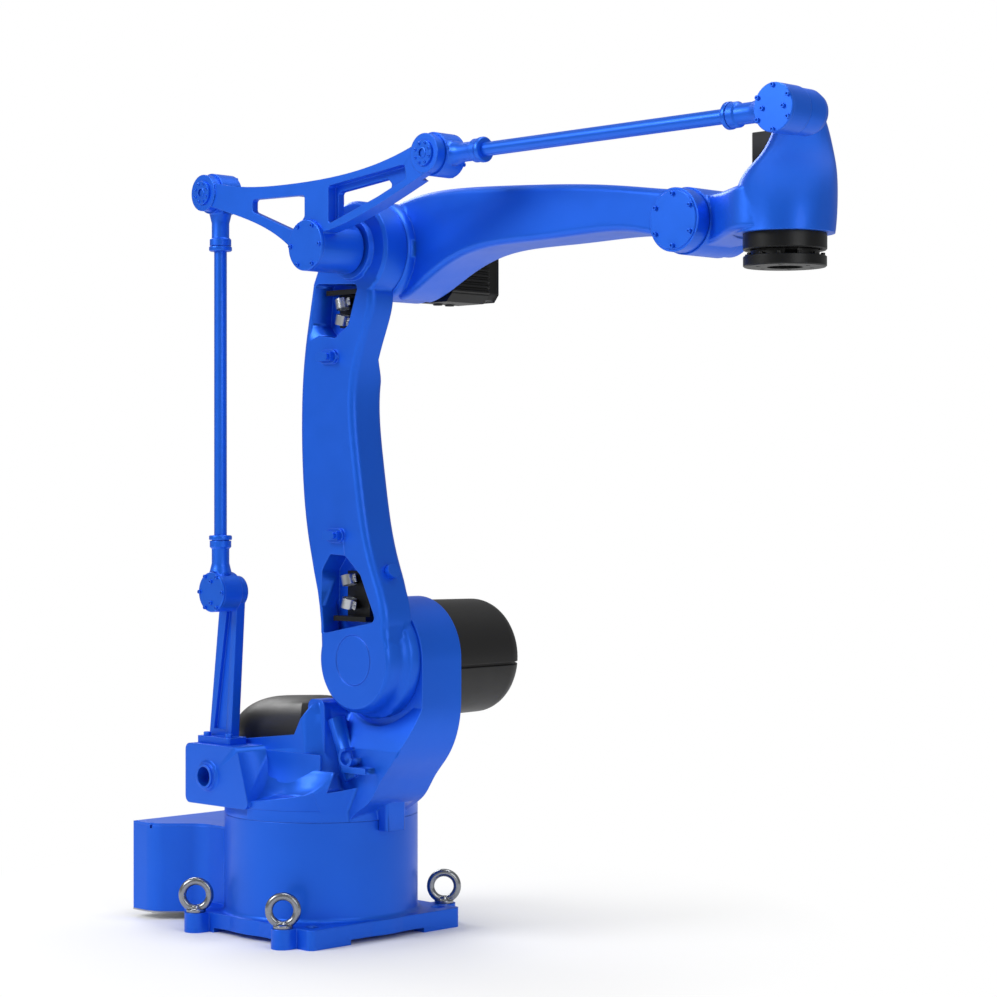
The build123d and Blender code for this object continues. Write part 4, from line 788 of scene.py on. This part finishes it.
@dataclass
class TurretUnit(SubAssembly):
    """The turning turret with its motors, covers and rear link post."""

    wall_low: float = 262 * MM
    wall_high: float = 345 * MM
    wall_radius: float = 200 * MM
    wall_spread: float = 5 * MM
    wall_lean: float = 40 * MM
    saddle_half: float = 134 * MM
    scoop_high: float = 376 * MM
    scoop_from: float = -36 * MM
    scoop_to: float = 151 * MM
    scoop_steps: int = 22
    scoop_coat: float = 0.6 * MM
    saddle_coat: float = 0.8 * MM
    scoop_inside: float = 6 * MM
    scoop_foot: float = 1 * MM
    lip_width: float = 5 * MM
    lip_slope: float = 1.2 * MM
    lip_height: float = 1.5 * MM
    least_scoop: float = 2 * MM
    # The rim's height at places along X, both in metres
    rim_marks: Marks = (
        (-0.060, 0.2665), (-0.020, 0.272), (0.020, 0.2775), (0.060, 0.283), (0.110, 0.291), (0.164, 0.301),
    )
    waist_x: float = -112 * MM
    cover_radius: float = 110 * MM
    cover_front: float = 60 * MM
    cover_low: float = 374.2 * MM
    cover_top: float = 484 * MM
    cover_round: float = 100 * MM
    cover_squeeze: float = 0.79
    cover_slope: float = 0.16
    cover_screws: Marks = ((-150 * MM, -103.2 * MM), (-62 * MM, -109.6 * MM))
    cover_screw_z: float = 392 * MM
    cover_screw_proud: float = 2 * MM
    cover_screw: SocketScrew = SocketScrew(5 * MM, 3 * MM)
    barrel_radius: float = 119 * MM
    barrel_round: float = 40 * MM
    barrel_draft: float = 2 * MM
    barrel_hole: float = 1 * MM
    seam_depth: float = 6 * MM
    # The seam's width and its turn from level, in degrees
    seam: float = 3.2
    seam_turn: float = 6.0

    def wall_y(self, x: float, z: float) -> float:
        """Follows the near side of the leaning round wall.

        Args:
            x: A place along X.
            z: A height.

        Returns:
            The wall's Y there.
        """
        lift = max(z - self.wall_low, 0) / (self.wall_high - self.wall_low)
        radius = self.wall_radius + lift * self.wall_spread
        return -math.sqrt(radius ** 2 - (x - lift * self.wall_lean) ** 2)

    def rim_z(self, x: float) -> float:
        """Follows the scoop's rim.

        Args:
            x: A place along X.

        Returns:
            The rim's height there.
        """
        marks = self.rim_marks
        for (x0, z0), (x1, z1) in zip(marks, marks[1:]):
            if x <= x1:
                return z0 + (z1 - z0) * (x - x0) / (x1 - x0)
        return marks[-1][1]

    def scoop_section(self, x: float) -> Outline:
        """Cuts the scoop across: a hollow quarter, the lip, the wall below it and the inside.

        Args:
            x: Where it is cut, along X.

        Returns:
            Y and Z pairs round the section.
        """
        lip_z = self.rim_z(x) + self.lip_height
        lip_y = self.wall_y(x, lip_z) - self.scoop_coat
        saddle, high = -self.saddle_half - self.saddle_coat, self.scoop_high
        width = saddle - min(lip_y + self.lip_width, saddle - self.least_scoop)
        hollow = [
            (saddle - width * (1 - math.cos(a)), high - (high - lip_z) * math.sin(a)) for a in arc(0, 90, 10)
        ]
        foot = self.wall_low + self.scoop_foot
        lip = [(lip_y + self.lip_slope, lip_z), (lip_y, lip_z - self.lip_height)]
        inside = saddle + self.scoop_inside
        return hollow + lip + [(self.wall_y(x, foot) - self.scoop_coat, foot), (inside, foot), (inside, high)]

    def scoop_skin(self) -> None:
        """The smooth hollow between the saddle's wall and the rim, as one poured surface."""
        form = Form()
        pitch = (self.scoop_to - self.scoop_from) / self.scoop_steps
        loops = []
        for step in range(self.scoop_steps + 1):
            x = self.scoop_from + pitch * step
            verts = [form.mesh.verts.new(Vector((x, y, z))) for y, z in self.scoop_section(x)]
            loops.append([form.mesh.edges.new(pair) for pair in zip(verts, verts[1:] + verts[:1])])
        for left, right in zip(loops, loops[1:]):
            bmesh.ops.bridge_loops(form.mesh, edges=left + right)
        for loop in (loops[0], loops[-1]):
            bmesh.ops.edgeloop_fill(form.mesh, edges=loop)
        self.dress(form, "scoop_surface", Finish.CAST_IRON_ENAMEL, "turret", "blue_iron")

    def waist_dome(self) -> None:
        """The domed cover over the waist motor, with its two screws."""
        form = Form()
        r, low, back = self.cover_radius, self.cover_low, self.waist_x
        outline = [(back + r * math.cos(a), r * math.sin(a)) for a in arc(90, 270, 24)]
        outline += [(self.cover_front, -r), (self.cover_front, r)]
        height = (self.cover_top - low) / self.cover_squeeze
        form.prism(outline, Matrix.Translation(Z_AXIS * low), height)
        rim = [edge for edge in form.mesh.edges if all(v.co.z > low + height - WELD for v in edge.verts)]
        form.round_edges(rim, self.cover_round, segments=14)
        for vert in form.mesh.verts:
            ahead = (self.cover_front - vert.co.x) / (self.cover_front - back + r)
            rise = (vert.co.z - low) * self.cover_squeeze
            vert.co.z = low + rise * (1 - self.cover_slope * ahead)
        for x, y in self.cover_screws:
            out = Vector((x - back, y, 0)).normalized() if x < back else -Y_AXIS
            top = Vector((x, y, self.cover_screw_z)) + out * self.cover_screw_proud
            self.cover_screw.add_to(form, seat(top, out))
        stands_for = ("waist_motor_cover",)
        self.dress(form, "waist_cover_dome", Finish.MOULDED_PLASTIC, "turret", "black_cover", stands_for)

    def shoulder_barrel(self) -> None:
        """The two moulded half shells over the shoulder motor, with the seam between them."""
        low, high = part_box("shoulder_motor_cover")
        middle = (low + high) / 2
        place = seat(Vector((middle.x, low.y, middle.z)), Y_AXIS)
        length, r, bend, deep = high.y - low.y, self.barrel_radius, self.barrel_round, self.seam_depth
        tip, hole = r - self.barrel_draft - bend, self.barrel_hole
        outer = [(tip + bend * math.cos(a), length - bend + bend * math.sin(a)) for a in arc(0, 90, 10)]
        core = [(0, 0), (r - deep, 0)] + [(max(radius - deep, 0), height - deep) for radius, height in outer]
        form = Form()
        form.lathe(core + [(0, length - deep)], place, steps=72)
        section = [(r, 0)] + outer + [(hole, length), (hole, length - 2 * deep), (tip, length - 2 * deep)]
        section += [(r - 2 * deep, length - bend), (r - 2 * deep, 0)]
        first = self.seam_turn + self.seam / 2
        for start in (first, first + 180):
            form.shell(section, place, start, 180 - self.seam, 36)
        stands_for = ("shoulder_motor_cover",)
        self.dress(form, "shoulder_cover_shells", Finish.MOULDED_PLASTIC, "turret", "black_cover", stands_for)

    def build(self) -> None:
        """Builds and dresses the turret."""
        self.scoop_skin()
        self.waist_dome()
        self.shoulder_barrel()
        self.recast("turret_casting", Finish.CAST_IRON_ENAMEL, "blue_iron")
        self.recast("waist_motor", Finish.ANODISED, "black_motor")
        self.recast("link_post", Finish.CAST_IRON_ENAMEL, "blue_iron")
        self.recast("rear_link_pin", Finish.GROUND_STEEL, "steel")
        self.recast("shoulder_motor", Finish.ANODISED, "black_motor")
        self.screws("link_post_screws", Z_AXIS, Finish.STEEL_ENAMEL, "blue_steel")


@dataclass
class LowerArmUnit(SubAssembly):
    """The lower arm with its two cable windows."""

    face_y: float = -115 * MM
    wall_depth: float = 40 * MM
    wall_out: float = 7 * MM
    wall_width: float = 14 * MM
    wall_round: float = 2.2 * MM
    # The arm's left edge beside each window, as X and Z in metres
    low_run: Marks = (
        (0.1235, 0.618), (0.1230, 0.640), (0.1190, 0.670), (0.1130, 0.702), (0.1020, 0.740), (0.0950, 0.768),
    )
    high_run: Marks = (
        (0.0840, 1.220), (0.0865, 1.245), (0.0920, 1.275), (0.0985, 1.305), (0.1030, 1.322),
    )
    clamp_radius: float = 15 * MM
    clamp_wall: float = 2.2 * MM
    clamp_height: float = 20 * MM
    # In degrees
    clamp_tilt: float = 14.0
    ear_length: float = 9 * MM
    ear_width: float = 3 * MM
    ear_height: float = 16 * MM
    ear_round: float = 0.8 * MM
    ear_root: float = 1 * MM
    ear_front: float = 2 * MM
    ear_screw: SocketScrew = SocketScrew(3.4 * MM, 2.6 * MM)
    ear_screw_reach: float = 4 * MM

    def window_walls(self) -> None:
        """The left walls of the two cable windows, brought forward to the arm's face."""
        form = Form()
        for run in (self.low_run, self.high_run):
            outline = [(x + self.wall_out, z) for x, z in run]
            outline += [(x + self.wall_width, z) for x, z in reversed(run)]
            form.slab(outline, self.face_y + self.wall_depth, self.wall_depth, self.wall_round)
        self.dress(form, "window_walls", Finish.CAST_IRON_ENAMEL, "lower_arm", "blue_iron")

    def clamps(self) -> None:
        """Band clamps, each with an ear and its screw, which tilt to and fro from the lowest up."""
        form = Form()
        r, wall, half = self.clamp_radius, self.clamp_wall, self.clamp_height / 2
        band = [(r - wall, -half), (r, -half), (r, half), (r - wall, half), (r - wall, -half)]
        long, wide, tall, front = self.ear_length, self.ear_width, self.ear_height, -self.ear_front
        middles = [sum(part, Vector()) / len(part) for part in islands(self.robot.nodes["cable_clamps"])]
        for number, middle in enumerate(sorted(middles, key=lambda point: point.z)):
            tilt = -self.clamp_tilt if number % 2 else self.clamp_tilt
            place = Matrix.Translation(middle) @ Matrix.Rotation(math.radians(tilt), 4, "Y")
            form.lathe(band, place, steps=32)
            ear = place @ Matrix.Translation(Vector((r - self.ear_root, front, -tall / 2)))
            form.prism([(0, 0), (long, 0), (long, wide), (0, wide)], ear, tall, self.ear_round)
            head = place @ Vector((r + self.ear_screw_reach, front, 0))
            self.ear_screw.add_to(form, seat(head - Y_AXIS * self.ear_screw.head_height, -Y_AXIS))
        self.dress(form, "band_clamps", Finish.ZINC_BAND, "lower_arm", "bright_steel", ("cable_clamps",))

    def build(self) -> None:
        """Builds and dresses the lower arm."""
        self.window_walls()
        self.clamps()
        self.recast("lower_arm_casting", Finish.CAST_IRON_ENAMEL, "blue_iron")
        self.recast("cable_brackets", Finish.BLACK_OXIDE, "black_steel")
        self.recast("lug_blocks", Finish.STEEL_ENAMEL, "blue_steel")
        self.recast("arm_stop", Finish.STEEL_ENAMEL, "blue_steel")
        self.recast("lug_screws", Finish.STEEL_ENAMEL, "blue_steel")


@dataclass
class CrankUnit(SubAssembly):
    """The bell crank between the two linkages."""

    pins: Marks = ((-97 * MM, 1511 * MM), (559 * MM, 1530 * MM))
    screw_circle: float = 19 * MM
    screw_count: int = 8
    # The angle of the first screw, in degrees
    first_screw: float = 22.5
    screw: SocketScrew = SocketScrew(2.9 * MM, 2.6 * MM)
    screw_proud: float = 2.2 * MM
    ring_inner: float = 8 * MM
    ring_outer: float = 10.4 * MM
    ring_chamfer: float = 0.8 * MM
    ring_edge: float = 0.8 * MM
    ring_low: float = -0.5 * MM
    ring_high: float = 1.2 * MM

    def pin_screws(self) -> None:
        """The small screws round each link pin's cap, and the ring round its centre."""
        near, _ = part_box("crank_link_pins")
        form = Form()
        inner, outer, low, high = self.ring_inner, self.ring_outer, self.ring_low, self.ring_high
        ring = [
            (inner, low), (outer, low), (outer, self.ring_edge), (outer - self.ring_chamfer, high),
            (inner, high), (inner, low),
        ]
        for x, z in self.pins:
            face = seat(Vector((x, near.y, z)), -Y_AXIS)
            for place in ring_of(face, self.screw_circle, self.screw_count, self.first_screw):
                self.screw.add_to(form, place @ Matrix.Translation(Z_AXIS * self.screw_proud))
            form.lathe(ring, face, steps=32)
        self.dress(form, "crank_pin_screws", Finish.STEEL_ENAMEL, "bell_crank", "blue_steel")

    def build(self) -> None:
        """Builds and dresses the crank."""
        self.pin_screws()
        self.recast("bell_crank_casting", Finish.ALLOY_ENAMEL, "blue_alloy")
        self.recast("crank_hub_cap", Finish.ALLOY_ENAMEL, "blue_alloy")
        self.recast("crank_link_pins", Finish.STEEL_ENAMEL, "blue_steel")
        self.screws("crank_hub_screws", Y_AXIS, Finish.STEEL_ENAMEL, "blue_steel")


@dataclass
class RodUnit(SubAssembly):
    """One parallel link: its tube, forked ends, lock nuts and covers."""

    prefix: str = "rear_rod"

    def build(self) -> None:
        """Builds and dresses the rod."""
        self.recast(self.prefix + "_tube", Finish.STEEL_ENAMEL, "blue_steel")
        self.recast(self.prefix + "_ends", Finish.ALLOY_ENAMEL, "blue_alloy")
        self.recast(self.prefix + "_lock_nuts", Finish.STEEL_ENAMEL, "blue_steel")
        self.recast(self.prefix + "_caps", Finish.STEEL_ENAMEL, "blue_steel")
        self.screws(self.prefix + "_cap_screws", Y_AXIS, Finish.STEEL_ENAMEL, "blue_steel")


@dataclass
class ForearmUnit(SubAssembly):
    """The forearm casting with the elbow motor."""

    rib_count: int = 6
    rib_height: float = 4 * MM
    rib_margin: float = 9 * MM
    first_rib: float = 18 * MM
    rib_packing: float = 0.82
    # Where a rib's crest begins and ends, and where the rib ends, as shares of the pitch
    rib_shape: tuple[float, float, float] = (0.22, 0.42, 0.6)
    motor_chin: float = 6 * MM
    motor_nose: float = 16 * MM
    bell_length: float = 26 * MM
    bell_gap: float = 1 * MM
    bell_round: float = 3.5 * MM
    bell_inset: float = 2 * MM
    bell_foot: float = 7 * MM
    bell_nose: float = 12 * MM
    bell_nose_height: float = 20 * MM
    socket_places: tuple[float, ...] = (0.3, 0.62)
    socket_inset: float = 22 * MM
    socket_sunk: float = 0.5 * MM
    disc_radius: float = 53 * MM
    disc_sunk: float = 1.4 * MM
    disc_chamfer: float = 1.6 * MM
    disc_edge: float = 3 * MM
    disc_foot: float = 4 * MM

    def ribbed(self, left: float, right: float, foot: float, top: float) -> Outline:
        """Draws the motor's housing with its rounded chin and the ribs on its front.

        Args:
            left: The X of its back.
            right: The X of its front, without the ribs.
            foot: The Z of its underside.
            top: The Z of its top.

        Returns:
            X and Z pairs, from the top of the back round to the top of the front.
        """
        chin, nose = self.motor_chin, self.motor_nose
        outline = [
            (left, top), (left, foot + chin), (left + chin, foot), (right - nose, foot), (right, foot + nose),
        ]
        pitch = (top - foot - 2 * self.rib_margin) / self.rib_count
        crest = right + self.rib_height
        rise, fall, end = (share * pitch for share in self.rib_shape)
        for rib in range(self.rib_count):
            base = foot + self.first_rib + rib * pitch * self.rib_packing
            outline += [(right, base), (crest, base + rise), (crest, base + fall), (right, base + end)]
        return outline + [(right, top)]

    def motor(self) -> None:
        """The ribbed elbow motor with its end bell and cable sockets."""
        low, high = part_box("elbow_motor")
        form = Form()
        left, right, foot = low.x + self.rib_height, high.x - self.rib_height, low.z + self.rib_height
        bell = high.y - self.bell_length
        bell_length = self.bell_length - self.bell_gap
        form.slab(self.ribbed(left, right, foot, high.z), bell, bell - low.y)
        x0, x1 = left + self.bell_inset, right - self.bell_gap
        z0, z1 = foot + self.bell_foot, high.z - self.bell_inset
        nose = [(right - self.bell_nose, z0), (x1, foot + self.bell_nose_height)]
        form.slab([(x0, z1), (x0, z0)] + nose + [(x1, z1)], high.y, bell_length, self.bell_round)
        socket = [
            (0, 0), (12 * MM, 0), (12 * MM, 1.2 * MM), (10 * MM, 1.6 * MM), (9 * MM, 3.9 * MM), (0, 3.9 * MM),
        ]
        x, z = left + self.socket_inset, foot + self.socket_sunk
        for share in self.socket_places:
            form.lathe(socket, seat(Vector((x, low.y + (bell - low.y) * share, z)), -Z_AXIS), 24)
        stands_for = ("elbow_motor",)
        self.dress(form, "elbow_motor_housing", Finish.ANODISED, "forearm", "black_motor", stands_for)

    def pin_covers(self) -> None:
        """The thin round covers over the wrist pin, nearly flush with the casting."""
        low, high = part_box("wrist_pin_covers")
        form = Form()
        r, foot, top = self.disc_radius, -self.disc_foot, -self.disc_sunk
        disc = [(0, foot), (r, foot), (r, -self.disc_edge), (r - self.disc_chamfer, top), (0, top)]
        for y, out in ((low.y, -Y_AXIS), (high.y, Y_AXIS)):
            form.lathe(disc, seat(Vector(((low.x + high.x) / 2, y, (low.z + high.z) / 2)), out), 72)
        stands_for = ("wrist_pin_covers",)
        self.dress(form, "wrist_pin_discs", Finish.STEEL_ENAMEL, "forearm", "blue_steel", stands_for)

    def build(self) -> None:
        """Builds and dresses the forearm."""
        self.motor()
        self.pin_covers()
        self.recast("forearm_casting", Finish.ALLOY_ENAMEL, "blue_alloy")
        self.screws("wrist_pin_screws", Y_AXIS, Finish.STEEL_ENAMEL, "blue_steel")


@dataclass
class WristUnit(SubAssembly):
    """The wrist head with its motor, reducer ring and tool flange."""

    flange_x: float = 1222 * MM
    flange_top: float = 1309.5 * MM
    bolt_circle: float = 66 * MM
    bolt_count: int = 12
    bolt: SocketScrew = SocketScrew(4 * MM, 5 * MM)

    def flange_bolts(self) -> None:
        """The bolt heads that show in the gap above the tool flange."""
        form = Form()
        face = seat(Vector((self.flange_x, 0, self.flange_top)), Z_AXIS)
        for place in ring_of(face, self.bolt_circle, self.bolt_count):
            self.bolt.add_to(form, place @ Matrix.Translation(Z_AXIS * self.bolt.head_height))
        self.dress(form, "flange_bolt_heads", Finish.BLACK_OXIDE, "tool_flange", "black_steel")

    def build(self) -> None:
        """Builds and dresses the wrist."""
        self.flange_bolts()
        self.recast("wrist_casting", Finish.ALLOY_ENAMEL, "blue_alloy")
        self.recast("wrist_motor", Finish.ANODISED, "black_motor")
        self.recast("wrist_reducer", Finish.BLACK_OXIDE, "black_steel")
        self.recast("upper_link_pin", Finish.GROUND_STEEL, "steel")
        self.recast("tool_flange", Finish.BLACK_OXIDE, "black_steel")


# The studio


@dataclass(frozen=True)
class Lamp:
    """A soft area lamp that looks at a point."""

    name: str
    at: tuple[float, float, float]
    towards: tuple[float, float, float]
    size: float
    watts: float

    def build(self) -> None:
        """Hangs the lamp."""
        light = bpy.data.lights.new(self.name, "AREA")
        light.shape = "DISK"
        light.size = self.size
        light.energy = self.watts
        lamp = bpy.data.objects.new(self.name, light)
        lamp.location = self.at
        aim = Vector(self.towards) - Vector(self.at)
        lamp.rotation_euler = aim.to_track_quat("-Z", "Y").to_euler()
        bpy.context.scene.collection.objects.link(lamp)


@dataclass(frozen=True)
class Studio:
    """The photograph's camera, white background, floor and lamps."""

    eye: tuple[float, float, float] = (3.958, -3.438, 0.900)
    lens: float = 90.96
    sensor_width: float = 36.0
    shift_y: float = -0.00567
    ambient: float = 0.32
    floor_radius: float = 14.0
    fade_from: float = 0.3
    fade_to: float = 1.1
    lamps: tuple[Lamp, ...] = (
        Lamp("key", (-1.4, -4.4, 3.8), (0.4, 0.0, 0.8), 2.6, 160.0),
        Lamp("fill", (5.0, -1.0, 2.2), (0.5, 0.0, 0.8), 2.6, 40.0),
        Lamp("rim", (-3.4, 1.2, 3.2), (0.2, 0.0, 0.9), 2.0, 60.0),
        Lamp("top", (1.0, 0.4, 5.0), (0.5, 0.0, 0.8), 3.0, 100.0),
    )

    def camera(self) -> None:
        """Sets the camera of the photograph, level and at 45 degrees."""
        data = bpy.data.cameras.new("photograph")
        data.lens = self.lens
        data.sensor_width = self.sensor_width
        data.shift_y = self.shift_y
        camera = bpy.data.objects.new("photograph", data)
        camera.location = self.eye
        camera.rotation_euler = (math.radians(90), 0, math.radians(45))
        bpy.context.scene.collection.objects.link(camera)
        bpy.context.scene.camera = camera

    def world(self) -> None:
        """A world that is pure white to the camera and soft elsewhere."""
        world = bpy.data.worlds.new("studio")
        bpy.context.scene.world = world
        world.use_nodes = True
        tree = world.node_tree
        tree.nodes.clear()
        rays = add_node(tree, "ShaderNodeLightPath").outputs["Is Camera Ray"]
        levels = {"To Min": self.ambient, "To Max": 1.0}
        strength = add_node(tree, "ShaderNodeMapRange", levels, {"Value": rays}).outputs["Result"]
        white = {"Color": (1.0, 1.0, 1.0, 1.0)}
        glow = add_node(tree, "ShaderNodeBackground", white, {"Strength": strength})
        add_node(tree, "ShaderNodeOutputWorld", None, {"Surface": glow.outputs["Background"]})

    def floor(self) -> None:
        """A pale floor that keeps the shadow and fades into the white world."""
        mesh = bmesh.new()
        bmesh.ops.create_circle(mesh, cap_ends=True, segments=96, radius=self.floor_radius)
        data = bpy.data.meshes.new("floor")
        mesh.to_mesh(data)
        mesh.free()
        material = bpy.data.materials.new("pale_floor")
        material.use_nodes = True
        tree = material.node_tree
        tree.nodes.clear()
        place = add_node(tree, "ShaderNodeTexCoord").outputs["Object"]
        reach = add_node(tree, "ShaderNodeVectorMath", {"operation": "LENGTH"}, {0: place}).outputs["Value"]
        fade = {"From Min": self.fade_from, "From Max": self.fade_to}
        far = add_node(tree, "ShaderNodeMapRange", fade, {"Value": reach}).outputs["Result"]
        rays = add_node(tree, "ShaderNodeLightPath").outputs["Is Camera Ray"]
        seen = add_node(tree, "ShaderNodeMath", {"operation": "MULTIPLY"}, {0: far, 1: rays}).outputs["Value"]
        paint = add_node(tree, "ShaderNodeBsdfDiffuse", {"Color": (0.92, 0.92, 0.92, 1.0)}).outputs["BSDF"]
        white = {"Color": (1.0, 1.0, 1.0, 1.0), "Strength": 1.0}
        glow = add_node(tree, "ShaderNodeEmission", white).outputs[0]
        mixed = add_node(tree, "ShaderNodeMixShader", None, {0: seen, 1: paint, 2: glow}).outputs[0]
        add_node(tree, "ShaderNodeOutputMaterial", None, {"Surface": mixed})
        data.materials.append(material)
        floor = bpy.data.objects.new("floor", data)
        bpy.context.scene.collection.objects.link(floor)
        floor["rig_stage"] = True

    def build(self) -> None:
        """Sets up the whole studio."""
        bpy.context.scene.view_settings.view_transform = "Standard"
        self.camera()
        self.world()
        self.floor()
        for lamp in self.lamps:
            lamp.build()


# Pieces inside the castings, which keep their CAD meshes
INSIDE = (
    "waist_reducer", "shoulder_reducer", "elbow_shaft", "elbow_reducer",
    "crank_bearings", "rear_rod_bearings", "upper_rod_bearings", "wrist_pin",
)


def main() -> None:
    """Builds the robot and its studio."""
    logging.basicConfig(level=logging.INFO)
    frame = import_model()
    boxes = {"cad": [list(corner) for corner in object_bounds()]}
    low, high = (Vector(corner) for corner in boxes["cad"])
    robot = Robot(frame["nodes"], Palette((low + high) / 2))
    units = [
        BaseUnit(robot),
        TurretUnit(robot),
        LowerArmUnit(robot),
        CrankUnit(robot),
        RodUnit(robot, "rear_rod"),
        RodUnit(robot, "upper_rod"),
        ForearmUnit(robot),
        WristUnit(robot),
    ]
    for unit in units:
        unit.build()
        log.info("built %s", type(unit).__name__)
    for node in INSIDE:
        robot.nodes[node].data.materials.clear()
        robot.nodes[node].data.materials.append(robot.palette.get(Finish.GROUND_STEEL))
    Studio().build()
    boxes["visual"] = [list(corner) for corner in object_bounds()]


if __name__ == "__main__":
    main()
